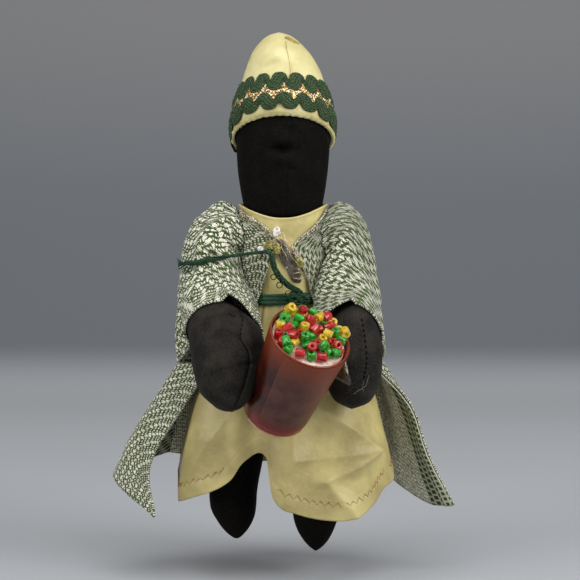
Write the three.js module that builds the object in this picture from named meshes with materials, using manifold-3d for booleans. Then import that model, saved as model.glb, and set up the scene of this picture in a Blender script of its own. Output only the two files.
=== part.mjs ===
// A cloth doll: a black stuffed body in a satin robe, an open woven coat and a pointed cap.
// Both arms hold a small plastic cup heaped with beads against its lap.
// Millimetres, +Z up. The doll faces -Y, and the origin is at the middle of its waist.
import * as THREE from "three";
import { mergeVertices } from "three/addons/utils/BufferGeometryUtils.js";
import Module from "manifold-3d";

const wasm = await Module();
wasm.setup();
const { degToRad, lerp, clamp } = THREE.MathUtils;

// Clearances
const seam = 0.35; // between pieces that are sewn, glued or pressed together
const turning = 0.9; // round the head, so that it turns inside the collar

// Stuffed body
const neckHeight = 48; // the neck seam, above the waist
const hipDepth = 46; // the leg seam, below the waist
const neckRadius = 22.4;
const chestHalfWidth = 23.5;
const chestHalfDepth = 21.5;
const waistHalfWidth = 23;
const waistHalfDepth = 19.5;
const hipHalfWidth = 29;
const hipHalfDepth = 21;

// Head
const headHeight = 83; // from the neck seam to the crown
const headRadius = 27.3; // at the temples
const jawFlare = 1.2; // how much wider the head is 10 mm above the neck seam
const headDepthRatio = 0.93; // front to back, against side to side

// Arms. The pivot is a sewn-in root disc at the side of the chest.
const shoulderHeight = 38;
const armRootRadius = 8.5;
const armRadius = 11.5;
const rightHandRadius = 20.5;
const leftHandRadius = 16.5;

// Legs
const hipSpacing = 30;
const hipBallRadius = 12.5;
const legRadius = 14;
const rightLegLength = 93; // from the hip seam to the toe
const leftLegLength = 100;

// Robe
const robeThickness = 1.2;
const collarFront = 47.5; // heights of the neckline
const collarSide = 55.5;
const robeHemSide = 106; // how far the hem hangs below the waist
const robeHalfWidthAtHem = 61;
const robeHalfDepthAtHem = 39;
const pleatDepth = 11;
const pleatAngle = -15; // degrees to the doll's right of its middle

// Waist sash
const sashThickness = 1.2;
const sashHeight = 6;
const sashBottom = -1.4;

// Coat
const coatThickness = 1.6;
const coatTop = 52.5;
const coatBackHem = 100;
const facingWidth = 0.1; // share of the panel that the turned-in strip takes
const facingThickness = 0.8;
const facingReach = 0.21; // share of the panel's height, from the hem up

// Sleeves
const sleeveThickness = 1.6;
const shoulderRadius = 12; // inside the sleeve head
const sleeveRadius = 13.5; // inside the upper sleeve
const cuffEase = 2.5; // room between hand and cuff
const cuffDrop = 7; // how far the underside of the cuff hangs

// Cap
const capBrimHeight = 93; // brim height at the temples
const capHeight = 62;
const capWall = 1.2;
const capSetBack = 7; // of the apex
const brimTilt = 27; // degrees, front edge up
const bandTilt = 17; // of the trim
const apexTilt = 8;
const bindingRadius = 1.7;

// Cap trim
const rickrackWidth = 6.2;
const rickrackThickness = 1.4;
const rickrackWave = 2;
const rickrackWaves = 16;
const upperRickrackHeight = 26; // above the brim
const lowerRickrackHeight = 11.5;
const braidWidth = 9;
const braidThickness = 0.7;

// Cup and its load
const cupRimRadius = 22.4;
const cupBaseRadius = 17.6;
const cupHeight = 61;
const cupWall = 1.2;
const cupFloor = 2;
const cupForwardLean = 36; // degrees towards the front
const cupSideLean = 23; // degrees towards the doll's left
const fillDepth = 4.5; // from the rim down to the filler
const labelThickness = 0.4;
const labelHeight = 50;
const labelLift = 5; // of its lower edge, above the cup's base
const labelStart = -32; // degrees from the cup's front
const labelEnd = 118;
const beadRadius = 2.6;
const beadBore = 1.1;
const beadLength = 4.3;
const heapLean = 0.09; // how much the filler rises for each millimetre towards the back

// Loose green floss
const flossRadius = 1.1;

const black = { color: 0x0d0d0f, roughness: 0.75, metalness: 0 };
const satin = { color: 0xd9d39b, roughness: 0.45, metalness: 0 };
const weave = { color: 0x8f9b7d, roughness: 0.9, metalness: 0 };
const greenTrim = { color: 0x123a1d, roughness: 0.7, metalness: 0 };
const goldTrim = { color: 0xb98f3c, roughness: 0.35, metalness: 0.8 };
const greenFloss = { color: 0x0f5a2a, roughness: 0.5, metalness: 0 };
const redPlastic = { color: 0x7d1a10, roughness: 0.25, metalness: 0 };
const frosted = { color: 0x8a4b42, roughness: 0.6, metalness: 0 };
const whiteFiller = { color: 0xe6e2da, roughness: 0.9, metalness: 0 };
const clearGlue = { color: 0x7d8070, roughness: 0.3, metalness: 0 };
const beadColours = {
  red: { color: 0xb0121c, roughness: 0.15, metalness: 0 },
  green: { color: 0x1f9a2c, roughness: 0.15, metalness: 0 },
  yellow: { color: 0xe8c415, roughness: 0.15, metalness: 0 },
};

const doll = new THREE.Group();

// Shape helpers

// Merges a geometry's shared corners, so that it is one closed surface, and turns its faces outwards.
function closed(geometry) {
  const bare = geometry.clone();
  for (const name of Object.keys(bare.attributes)) {
    if (name !== "position") bare.deleteAttribute(name);
  }
  const merged = mergeVertices(bare, 1e-3);
  const solid = toSolid(merged);
  if (solid.volume() < 0) {
    const index = merged.index.array;
    for (let i = 0; i < index.length; i += 3) {
      [index[i], index[i + 1]] = [index[i + 1], index[i]];
    }
  }
  return merged;
}

function toSolid(geometry) {
  const mesh = new wasm.Mesh({
    numProp: 3,
    vertProperties: new Float32Array(geometry.attributes.position.array),
    triVerts: new Uint32Array(geometry.index.array),
  });
  return new wasm.Manifold(mesh);
}

function fromSolid(solid) {
  const mesh = solid.getMesh();
  const geometry = new THREE.BufferGeometry();
  geometry.setAttribute("position", new THREE.BufferAttribute(mesh.vertProperties, 3));
  geometry.setIndex(new THREE.BufferAttribute(mesh.triVerts, 1));
  return geometry;
}

function cut(geometry, ...tools) {
  let solid = toSolid(geometry);
  for (const tool of tools) solid = solid.subtract(toSolid(tool));
  return fromSolid(solid);
}

function joined(geometry, other) {
  return fromSolid(toSolid(geometry).add(toSolid(other)));
}

function addMesh(name, geometry, look, group = doll) {
  const mesh = new THREE.Mesh(geometry, new THREE.MeshStandardMaterial(look));
  mesh.name = name;
  group.add(mesh);
  return mesh;
}

// Reads a smooth line through [place, value] stations, listed in rising order of place.
function along(stations, place) {
  const last = stations.length - 1;
  const at = clamp(place, stations[0][0], stations[last][0]);
  let i = 0;
  while (i < last - 1 && at > stations[i + 1][0]) i += 1;
  const slope = (k) => {
    const before = stations[Math.max(k - 1, 0)];
    const after = stations[Math.min(k + 1, last)];
    return (after[1] - before[1]) / (after[0] - before[0]);
  };
  const [start, startValue] = stations[i];
  const [end, endValue] = stations[i + 1];
  const span = end - start;
  const t = (at - start) / span;
  const bend = t * (1 - t) * span;
  const line = lerp(startValue, endValue, t);
  const chord = (endValue - startValue) / span;
  return line + bend * ((slope(i) - chord) * (1 - t) - (slope(i + 1) - chord) * t);
}

// Turns a profile of (radius, height) points and moves each vertex with place(radius, angle, height).
// Angle 0 is at the front, and a quarter turn is at the doll's left side, which is +X.
function turned(profile, segments, place) {
  const geometry = new THREE.LatheGeometry(profile, segments);
  const position = geometry.getAttribute("position");
  for (let i = 0; i < position.count; i += 1) {
    const x = position.getX(i);
    const z = position.getZ(i);
    const moved = place(Math.hypot(x, z), Math.atan2(x, z), position.getY(i));
    position.setXYZ(i, moved.x, moved.y, moved.z);
  }
  return closed(geometry);
}

// A closed band of cloth: place(side, angle, v) has side 0 within and 1 without, and v from 0 up to 1.
function hoop(rows, segments, place) {
  const profile = [];
  for (let i = 0; i <= rows; i += 1) profile.push(new THREE.Vector2(2, i / rows));
  for (let i = rows; i >= 0; i -= 1) profile.push(new THREE.Vector2(1, i / rows));
  profile.push(profile[0].clone());
  return turned(profile, segments, (radius, angle, v) => place(radius - 1, angle, v));
}

// An open sheet of cloth about surface(u, v), with u and v from 0 to 1.
function sheet(columns, rows, thickness, surface) {
  const geometry = new THREE.BoxGeometry(1, 1, 1, columns, rows, 1);
  const position = geometry.getAttribute("position");
  const step = 0.01;
  for (let i = 0; i < position.count; i += 1) {
    const u = position.getX(i) + 0.5;
    const v = position.getY(i) + 0.5;
    const across = surface(Math.min(u + step, 1), v).sub(surface(Math.max(u - step, 0), v));
    const up = surface(u, Math.min(v + step, 1)).sub(surface(u, Math.max(v - step, 0)));
    const normal = across.cross(up).normalize();
    const point = surface(u, v).addScaledVector(normal, position.getZ(i) * thickness);
    position.setXYZ(i, point.x, point.y, point.z);
  }
  return closed(geometry);
}

// A surface through rows of points, from the lowest row at v = 0 to the top one at v = 1.
function drape(rows) {
  const lines = rows.map((row) => new THREE.CatmullRomCurve3(row, false, "centripetal"));
  return (u, v) => {
    const down = new THREE.CatmullRomCurve3(lines.map((line) => line.getPoint(u)));
    return down.getPoint(v);
  };
}

// Points about a bent centre line: t runs along it, and angle 0 is on its upper front side.
function about(line) {
  return (t, angle, radius) => {
    const centre = line.getPoint(t);
    const tangent = line.getTangent(t);
    const side = new THREE.Vector3(1, 0, 0);
    side.addScaledVector(tangent, -side.dot(tangent)).normalize();
    const front = new THREE.Vector3().crossVectors(tangent, side);
    return centre
      .addScaledVector(front, radius * Math.cos(angle))
      .addScaledVector(side, radius * Math.sin(angle));
  };
}

// A stuffed limb about a centre line, whose radius goes through the given stations.
function limb(line, stations, rows, segments, adjust = (point) => point) {
  const place = about(line);
  const profile = [];
  for (let i = 0; i <= rows; i += 1) {
    const t = i / rows;
    const end = i === 0 || i === rows;
    profile.push(new THREE.Vector2(end ? 0 : along(stations, t), t));
  }
  return turned(profile, segments, (radius, angle, t) => adjust(place(t, angle, radius)));
}

// Body outline, which the robe and coat follow

const bodyWidths = [
  [-hipDepth, hipHalfWidth * 0.82],
  [-hipDepth * 0.65, hipHalfWidth],
  [0, waistHalfWidth],
  [shoulderHeight * 0.6, chestHalfWidth],
  [shoulderHeight, chestHalfWidth],
  [neckHeight, neckRadius + turning - seam],
  [neckHeight + 10, neckRadius + turning - seam + jawFlare],
];
const bodyDepths = [
  [-hipDepth, hipHalfDepth * 0.82],
  [-hipDepth * 0.65, hipHalfDepth],
  [0, waistHalfDepth],
  [shoulderHeight * 0.6, chestHalfDepth],
  [shoulderHeight, chestHalfDepth],
  [neckHeight, neckRadius + turning - seam],
  [neckHeight + 10, neckRadius + turning - seam + jawFlare],
];

// A point over the body at an angle from its front, a height and a distance off its surface.
function onBody(angle, height, offset) {
  return new THREE.Vector3(
    (along(bodyWidths, height) + offset) * Math.sin(angle),
    -(along(bodyDepths, height) + offset) * Math.cos(angle),
    height,
  );
}

const armRoot = (radius, length) => {
  const drum = new THREE.CylinderGeometry(radius, radius, length, 20);
  drum.rotateZ(Math.PI / 2);
  drum.translate(0, 0, shoulderHeight);
  return closed(drum);
};
const robeOuter = seam + robeThickness;
const sashInner = robeOuter + 2 * seam;
const sashOuter = sashInner + sashThickness;
const coatInner = sashOuter + 3 * seam;
const chestCoatInner = robeOuter + 3 * seam;
const coatOffsets = [
  [0, coatInner + coatThickness / 2],
  [7, coatInner + coatThickness / 2],
  [14, chestCoatInner + coatThickness / 2],
  [60, chestCoatInner + coatThickness / 2],
];
const sidePlane = chestHalfWidth + chestCoatInner + coatThickness + 2 * seam;
const torsoSide = chestHalfWidth - 3;

// Torso

function makeTorso() {
  const rows = 10;
  const top = neckHeight - seam;
  const profile = [new THREE.Vector2(0, -hipDepth)];
  for (let i = 0; i <= rows; i += 1) {
    const height = lerp(-hipDepth, top, i / rows);
    profile.push(new THREE.Vector2(i === 0 || i === rows ? 0.85 : 1, height));
  }
  profile.push(new THREE.Vector2(0, top));
  const shape = turned(profile, 24, (radius, angle, height) => {
    const skin = onBody(angle, height, 0);
    return new THREE.Vector3(skin.x * radius, skin.y * radius, height);
  });
  const socket = armRoot(armRootRadius + seam, 12);
  const left = socket.clone().translate(torsoSide + 6, 0, 0);
  const right = socket.clone().translate(-torsoSide - 6, 0, 0);
  return cut(shape, left, right);
}
addMesh("torso", makeTorso(), black);

// Head

const headProfile = [
  [0, neckRadius - 0.6],
  [10, neckRadius + jawFlare],
  [headHeight * 0.33, headRadius - 1],
  [headHeight * 0.52, headRadius],
  [headHeight * 0.68, headRadius - 0.9],
  [headHeight * 0.82, headRadius * 0.84],
  [headHeight * 0.93, headRadius * 0.55],
  [headHeight, 2],
];
const headDepths = [
  [0, 1],
  [10, 1],
  [headHeight * 0.4, headDepthRatio],
  [headHeight, headDepthRatio],
];

function makeHead() {
  const profile = [new THREE.Vector2(0, 0)];
  const rows = 14;
  for (let i = 0; i <= rows; i += 1) {
    const height = (i / rows) * headHeight;
    profile.push(new THREE.Vector2(along(headProfile, height), height));
  }
  profile.push(new THREE.Vector2(0, headHeight));
  return turned(profile, 26, (radius, angle, height) => {
    const depth = radius * along(headDepths, height);
    return new THREE.Vector3(
      radius * Math.sin(angle),
      -depth * Math.cos(angle),
      neckHeight + height,
    );
  });
}
const head = makeHead();
addMesh("head", head, black);

// Cap

const capRadii = [
  [0, headRadius + seam + capWall + 0.4],
  [capHeight * 0.16, headRadius + seam + capWall + 0.4],
  [capHeight * 0.3, headRadius + 0.5],
  [capHeight * 0.42, headRadius - 1.8],
  [capHeight * 0.53, headRadius - 4],
  [capHeight * 0.65, 21],
  [capHeight * 0.77, 17.4],
  [capHeight * 0.89, 11.6],
  [capHeight * 0.96, 6.5],
  [capHeight, 0.5],
];

const capTilts = [
  [0, brimTilt],
  [lowerRickrackHeight * 0.5, lerp(brimTilt, bandTilt, 0.8)],
  [lowerRickrackHeight, bandTilt],
  [upperRickrackHeight, bandTilt - 2],
  [capHeight, apexTilt],
];

// A point on the ring of the cap at a rise above the brim. The rings tilt back less towards the apex.
function onCap(radius, angle, rise) {
  const tilt = degToRad(along(capTilts, rise));
  return new THREE.Vector3(
    radius * Math.sin(angle),
    capSetBack * (rise / capHeight) - radius * Math.cos(angle) * Math.cos(tilt),
    capBrimHeight + rise + radius * Math.cos(angle) * Math.sin(tilt),
  );
}

function makeCapCrown() {
  const rows = 12;
  const profile = [new THREE.Vector2(0, capHeight - capWall * 2)];
  for (let i = rows; i >= 0; i -= 1) {
    const rise = (i / rows) * (capHeight - capWall * 2.5);
    profile.push(new THREE.Vector2(along(capRadii, rise) - capWall, rise));
  }
  for (let i = 0; i < rows; i += 1) {
    const rise = (i / rows) * capHeight;
    profile.push(new THREE.Vector2(along(capRadii, rise), rise));
  }
  profile.push(new THREE.Vector2(0, capHeight));
  return turned(profile, 32, onCap);
}
addMesh("cap_crown", makeCapCrown(), satin);

function makeCapBinding() {
  const centre = headRadius + 2 * seam + bindingRadius + 0.2;
  const profile = [];
  const corners = 5;
  for (let i = 0; i < corners; i += 1) {
    const turn = (i / corners) * 2 * Math.PI;
    profile.push(
      new THREE.Vector2(
        centre + bindingRadius * Math.cos(turn),
        bindingRadius * (Math.sin(turn) - 1) - seam,
      ),
    );
  }
  profile.push(profile[0].clone());
  return turned(profile, 32, onCap);
}
addMesh("cap_brim_binding", makeCapBinding(), satin);

// A ribbon round the cap: rise above the brim, how far off the crown, and an even wave up and down.
function capRibbon(rise, width, thickness, off, wave, waves, segments) {
  return hoop(1, segments, (side, angle, v) => {
    const height = rise + wave * Math.cos(angle * waves) + (v - 0.5) * width;
    return onCap(along(capRadii, height) + off + side * thickness, angle, height);
  });
}
const braidRise = (upperRickrackHeight + lowerRickrackHeight) / 2;
const rickrackOff = seam + braidThickness + seam;
addMesh(
  "cap_gold_braid",
  capRibbon(braidRise, braidWidth, braidThickness, seam, 0, 0, 36),
  goldTrim,
);
for (const [name, rise] of [
  ["cap_upper_rickrack", upperRickrackHeight],
  ["cap_lower_rickrack", lowerRickrackHeight],
]) {
  const ribbon = capRibbon(
    rise,
    rickrackWidth,
    rickrackThickness,
    rickrackOff,
    rickrackWave,
    rickrackWaves,
    rickrackWaves * 4,
  );
  addMesh(name, ribbon, greenTrim);
}

// Robe

function makeRobeBodice() {
  const shape = hoop(7, 32, (side, angle, v) => {
    const top = lerp(collarSide, collarFront, Math.pow(Math.max(Math.cos(angle), 0), 2));
    return onBody(angle, lerp(seam / 2, top, v), seam + side * robeThickness);
  });
  return cut(shape, armRoot(armRootRadius + seam, 4 * sidePlane));
}
addMesh("robe_bodice", makeRobeBodice(), satin);

// How far the hem hangs below the waist, by degrees from the front: higher at the pleat, lower beside it.
const robeHem = [
  [-180, robeHemSide - 6],
  [-120, robeHemSide - 5],
  [-75, robeHemSide + 9],
  [-46, robeHemSide + 3],
  [-31, robeHemSide - 5],
  [-20, robeHemSide - 17],
  [-9, robeHemSide - 19],
  [-4, robeHemSide + 4],
  [7, robeHemSide + 12],
  [30, robeHemSide + 17],
  [44, robeHemSide + 14],
  [74, robeHemSide + 1],
  [110, robeHemSide - 5],
  [180, robeHemSide - 6],
];
const robeSpread = [
  [0, 0],
  [20, 0.24],
  [48, 0.68],
  [80, 0.9],
  [robeHemSide, 1],
  [robeHemSide + 20, 1],
];

// The robe's skirt at an angle and a depth below the waist, off its inner face.
function onRobe(angle, depth, offset) {
  const degrees = THREE.MathUtils.radToDeg(angle);
  const spread = along(robeSpread, depth);
  const ripple = 1.6 * Math.cos(angle * 7 + 1) * spread;
  const fromPleat = (degrees - pleatAngle) / 9;
  const pleat = pleatDepth * Math.pow(spread, 2) * Math.exp(-fromPleat * fromPleat);
  const width = lerp(waistHalfWidth + seam, robeHalfWidthAtHem, spread) + ripple;
  const front = lerp(waistHalfDepth + seam, robeHalfDepthAtHem, spread) + ripple - pleat;
  return new THREE.Vector3(
    (width + offset) * Math.sin(angle),
    -(front + offset) * Math.cos(angle),
    -depth,
  );
}

function makeRobeSkirt() {
  return hoop(8, 54, (side, angle, v) => {
    const hem = along(robeHem, THREE.MathUtils.radToDeg(angle));
    return onRobe(angle, lerp(hem, seam / 2, v), side * robeThickness);
  });
}
addMesh("robe_skirt", makeRobeSkirt(), satin);

// How far out the clothed body's side reaches at a height: the sleeves and upper arms stay beyond it.
function sideWall(height) {
  const spread = along(robeSpread, -height);
  const skirt = lerp(waistHalfWidth, robeHalfWidthAtHem, spread) + robeThickness + coatThickness;
  const waist = waistHalfWidth + coatInner + coatThickness + 2 * seam;
  const chest = lerp(waist, sidePlane, THREE.MathUtils.smoothstep(height, 6, 16));
  return Math.max(sidePlane, chest, height < 0 ? skirt + 2.5 : 0);
}

// Keeps a point of the arm or sleeve beyond the body's side. In front of the body it is free.
function keepOut(point, sign, gap) {
  const free = THREE.MathUtils.smoothstep(-point.y, 24, 36);
  const wall = lerp(sideWall(point.z), 0, free) + gap;
  point.x = sign * Math.max(sign * point.x, wall);
  return point;
}

// Waist sash and its knot

function makeSash() {
  return hoop(2, 36, (side, angle, v) => {
    const height = sashBottom + v * sashHeight;
    return onBody(angle, height, sashInner + side * sashThickness);
  });
}
addMesh("waist_sash", makeSash(), greenFloss);

const knotAngle = degToRad(20);
const knotRadius = 3;
const knotPlace = onBody(knotAngle, sashBottom + sashHeight / 2, sashOuter + 1.2 + knotRadius);

function makeSashKnot() {
  const knot = new THREE.SphereGeometry(knotRadius, 10, 6);
  knot.scale(2, 0.75, 1);
  knot.rotateZ(knotAngle);
  knot.translate(knotPlace.x, knotPlace.y, knotPlace.z);
  return closed(knot);
}
addMesh("sash_knot", makeSashKnot(), greenFloss);

// Arms

const rightArmLine = new THREE.CatmullRomCurve3([
  new THREE.Vector3(-38, 0, shoulderHeight + 12),
  new THREE.Vector3(-43.5, -1, shoulderHeight - 4),
  new THREE.Vector3(-44.5, -11, 14),
  new THREE.Vector3(-41.5, -30, -4),
  new THREE.Vector3(-33, -52, -22),
  new THREE.Vector3(-29.5, -57, -42),
  new THREE.Vector3(-27.5, -54, -59),
]);
const leftArmLine = new THREE.CatmullRomCurve3([
  new THREE.Vector3(37, 0, shoulderHeight + 12),
  new THREE.Vector3(43, -1, shoulderHeight - 4),
  new THREE.Vector3(44, -10, 14),
  new THREE.Vector3(43, -25, -4),
  new THREE.Vector3(40, -40, -22),
  new THREE.Vector3(39, -45, -42),
  new THREE.Vector3(38, -43, -59),
]);

function armRadii(handRadius) {
  return [
    [0, 4],
    [0.08, armRadius - 2],
    [0.25, armRadius],
    [0.45, armRadius + 1.2],
    [0.68, handRadius],
    [0.85, handRadius * 0.92],
    [0.95, handRadius * 0.62],
    [1, handRadius * 0.3],
  ];
}

// The stuffed arm, or with some growth the space that its sleeve leaves free
function armShape(line, handRadius, sign, growth) {
  const stations = armRadii(handRadius).map(([t, radius]) => [t, radius + growth]);
  const beyond = (point) => keepOut(point, sign, sleeveThickness + 6 * seam - growth);
  return limb(line, stations, 17, 18, beyond);
}

// The cup, in its own upright frame: the outer side, and the place of the cup on the doll

const cupGroup = new THREE.Group();
const cupAxis = new THREE.Vector3(0, 0, 1)
  .applyAxisAngle(new THREE.Vector3(1, 0, 0), degToRad(cupForwardLean))
  .applyAxisAngle(new THREE.Vector3(0, 1, 0), degToRad(cupSideLean));
const cupBase = new THREE.Vector3(-4.5, -51, -60);
cupGroup.position.copy(cupBase);
cupGroup.quaternion.setFromUnitVectors(new THREE.Vector3(0, 0, 1), cupAxis);
doll.add(cupGroup);
cupGroup.updateMatrixWorld(true);

const upright = (radius, angle, height) =>
  new THREE.Vector3(radius * Math.sin(angle), -radius * Math.cos(angle), height);
const cupRadiusAt = (height) => lerp(cupBaseRadius, cupRimRadius, height / cupHeight);

function cupSolid(growth) {
  const profile = [
    new THREE.Vector2(0, -growth),
    new THREE.Vector2(cupBaseRadius + growth, -growth),
    new THREE.Vector2(cupRimRadius + growth, cupHeight + growth),
    new THREE.Vector2(0, cupHeight + growth),
  ];
  return turned(profile, 32, upright);
}

// The frosted wrap on the front and left of the cup, or with some growth the space that it needs
function labelSolid(growth) {
  const degrees = growth / cupBaseRadius / degToRad(1);
  return sheet(14, 2, labelThickness + 2 * growth, (u, v) => {
    const height = labelLift - growth + v * (labelHeight + 2 * growth);
    const angle = degToRad(lerp(labelStart - degrees, labelEnd + degrees, u));
    return upright(cupRadiusAt(height) + seam + labelThickness / 2, angle, height);
  });
}
const cupClear = [
  cupSolid(seam).applyMatrix4(cupGroup.matrixWorld),
  labelSolid(seam).applyMatrix4(cupGroup.matrixWorld),
];

function makeArm(line, handRadius, sign) {
  const arm = armShape(line, handRadius, sign, 0);
  const root = armRoot(armRootRadius, 44 - torsoSide);
  root.translate(sign * (torsoSide + seam + (44 - torsoSide) / 2), 0, 0);
  return cut(joined(arm, root), ...cupClear);
}
const rightArm = makeArm(rightArmLine, rightHandRadius, -1);
const leftArm = makeArm(leftArmLine, leftHandRadius, 1);
addMesh("right_arm", rightArm, black);
addMesh("left_arm", leftArm, black);

// Sleeves: bells round the arms, flat where they are sewn to the side of the coat

function makeSleeve(line, handRadius, sign) {
  const cuff = 0.53;
  const place = about(line);
  const radii = [
    [-0.05, 8],
    [0.03, shoulderRadius],
    [0.2, sleeveRadius],
    [0.4, sleeveRadius + 1.5],
    [0.58, handRadius + cuffEase],
  ];
  const rows = 9;
  const headInside = 0.02; // where the inner face closes over the shoulder
  const profile = [];
  for (let i = rows; i > 0; i -= 1) profile.push(new THREE.Vector2(1, i / rows));
  profile.push(new THREE.Vector2(0, headInside), new THREE.Vector2(0, 0));
  for (let i = 1; i <= rows; i += 1) profile.push(new THREE.Vector2(2, i / rows));
  profile.push(profile[0].clone());
  const shape = turned(profile, 26, (mark, angle, v) => {
    const onAxis = mark < 0.5;
    const outer = mark > 1.5 || (onAxis && v < headInside / 2);
    const t = lerp(-0.03, cuff, v);
    const radius = onAxis ? 0 : along(radii, t) + (outer ? sleeveThickness : 0);
    const point = place(Math.max(t, 0), angle, radius);
    const crown = (1 - v) * (outer ? 5 : 3);
    point.z += Math.pow(1 - v, 4) * crown;
    const outward = (1 + sign * Math.sin(angle)) / 2;
    point.z -= cuffDrop * v * v * (1 - Math.cos(angle)) * 0.5 * outward;
    return keepOut(point, sign, outer ? 0 : sleeveThickness);
  });
  const hole = armRoot(armRootRadius + seam, 2 * sidePlane + 8 * sleeveThickness);
  return cut(shape, hole, armShape(line, handRadius, sign, seam));
}
addMesh("coat_right_sleeve", makeSleeve(rightArmLine, rightHandRadius, -1), weave);
addMesh("coat_left_sleeve", makeSleeve(leftArmLine, leftHandRadius + 1.5, 1), weave);

// Coat panels: rows of points from the hem up, each from the side seam to the front edge

const at = (x, y, z) => new THREE.Vector3(x, y, z);
const seamDegrees = 97;
const overRobe = robeThickness + 4 * seam + coatThickness / 2;

// A row over the body at a height, or over the robe's skirt at a depth, to a front edge in degrees.
const rowAngles = (edge) =>
  [0, 0.2, 0.4, 0.6, 0.8, 1].map((share) => degToRad(lerp(seamDegrees, edge, share)));
const bodyRow = (height, edge, sign) =>
  rowAngles(edge).map((angle) => onBody(sign * angle, height, along(coatOffsets, height)));
const robeRow = (depth, edge, sign) =>
  rowAngles(edge).map((angle) => onRobe(sign * angle, depth, overRobe));

// The front edges above the waist: degrees from the front by height
const rightEdge = [
  [0, 31],
  [12, 24],
  [30, 17],
  [40, 17],
  [46, 34],
  [coatTop, 68],
];
const leftEdge = [
  [0, 38],
  [12, 34],
  [22, 29],
  [34, 17],
  [42, 34],
  [coatTop, 70],
];
const upperHeights = [3, 12, 22, 30, 36, 41, 45, 49, coatTop];
const upperRows = (edges, sign) =>
  upperHeights.map((height) => bodyRow(height, along(edges, height), sign));

// The side seams below the waist, from the hem up
const rightSeam = [at(-68, 28, -93), at(-64, 25, -74), at(-58, 21, -50), at(-46, 16, -28)];
const leftSeam = [at(58, 34, -102), at(60, 30, -76), at(56, 24, -50), at(46, 17, -28)];

const rightFront = drape([
  [rightSeam[0], at(-88, 16, -98), at(-97, -4, -103), at(-76, -34, -120)],
  [rightSeam[1], at(-80, 14, -78), at(-88, -2, -83), at(-76, -24, -94)],
  [rightSeam[2], at(-68, 12, -54), at(-72, 0, -58), at(-59, -16, -64)],
  [rightSeam[3], at(-54, 9, -32), at(-56, -4, -35), at(-42, -20, -38)],
  robeRow(14, 46, -1),
  ...upperRows(rightEdge, -1),
]);
const leftFront = drape([
  [leftSeam[0], at(70, 25, -112), at(86, 16, -122), at(101, 7, -121)],
  [leftSeam[1], at(69, 21, -82), at(78, 12, -88), at(86, 5, -92)],
  [leftSeam[2], at(62, 16, -54), at(69, 8, -57), at(74, 2, -60)],
  [leftSeam[3], at(52, 9, -31), at(54, -1, -34), at(50, -11, -35)],
  robeRow(14, 52, 1),
  ...upperRows(leftEdge, 1),
]);

// A panel whose surface starts a little in from its seams
const seamInset = 0.45;
function inset(surface, fromStart, fromEnd) {
  return (u, v) => {
    const width = surface(0.02, v).distanceTo(surface(0.98, v));
    const margin = seamInset / width;
    return surface(lerp(fromStart ? margin : 0, fromEnd ? 1 - margin : 1, u), v);
  };
}
const armHoles = armRoot(armRootRadius + seam, 4 * sidePlane);
function makePanel(columns, rows, surface) {
  return cut(sheet(columns, rows, coatThickness, surface), armHoles);
}
addMesh("coat_right_front", makePanel(9, 20, inset(rightFront, true, false)), weave);
addMesh("coat_left_front", makePanel(9, 20, inset(leftFront, true, false)), weave);

function makeFacing() {
  const lift = coatThickness / 2 + 4 * seam + facingThickness / 2;
  const step = 0.01;
  return sheet(2, 14, facingThickness, (u, v) => {
    const across = lerp(1 - facingWidth, 0.995, u);
    const up = lerp(0.01, facingReach, v);
    const point = leftFront(across, up);
    const right = leftFront(across + step / 2, up).sub(leftFront(across - step / 2, up));
    const above = leftFront(across, up + step).sub(point);
    return point.addScaledVector(right.cross(above).normalize(), lift);
  });
}
addMesh("coat_left_facing", makeFacing(), weave);

const backAngles = [0, 1, 2, 3, 4, 5, 6, 7, 8].map((step) =>
  degToRad(lerp(seamDegrees, 360 - seamDegrees, step / 8)),
);
const backRow = (height) =>
  backAngles.map((angle) => onBody(angle, height, along(coatOffsets, height)));
const coatBack = drape([
  [leftSeam[0], at(40, 45, -104), at(0, 49, -coatBackHem), at(-42, 43, -98), rightSeam[0]],
  [leftSeam[1], at(38, 42, -76), at(0, 46, -76), at(-38, 41, -76), rightSeam[1]],
  [leftSeam[2], at(34, 38, -50), at(0, 41, -50), at(-34, 38, -50), rightSeam[2]],
  [leftSeam[3], at(26, 32, -26), at(0, 35, -26), at(-26, 32, -26), rightSeam[3]],
  backAngles.map((angle) => onRobe(angle, 14, overRobe)),
  ...upperHeights.map(backRow),
]);
addMesh("coat_back", makePanel(14, 14, inset(coatBack, true, true)), weave);

// Legs: a ball at the hip, a stuffed cone and a pointed toe

function makeLeg(hip, shin, toe) {
  const line = new THREE.CatmullRomCurve3([
    hip,
    hip.clone().lerp(shin, 0.35),
    shin,
    shin.clone().lerp(toe, 0.5),
    toe,
  ]);
  const stations = [
    [0, 3],
    [0.06, hipBallRadius * 0.8],
    [0.14, hipBallRadius],
    [0.4, legRadius],
    [0.66, legRadius - 0.6],
    [0.84, legRadius * 0.66],
    [0.95, 4],
    [1, 1],
  ];
  return limb(line, stations, 16, 18);
}
const hipTop = -hipDepth - seam;
const rightLeg = makeLeg(
  at(-hipSpacing / 2, 0, hipTop),
  at(-29, -2, hipTop - rightLegLength * 0.7),
  at(-26.5, -8, hipTop - rightLegLength),
);
const leftLeg = makeLeg(
  at(hipSpacing / 2, 0, hipTop),
  at(19, -2, hipTop - leftLegLength * 0.7),
  at(19, -8, hipTop - leftLegLength),
);
addMesh("right_leg", rightLeg, black);
addMesh("left_leg", leftLeg, black);

// Cup, label and filler

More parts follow.
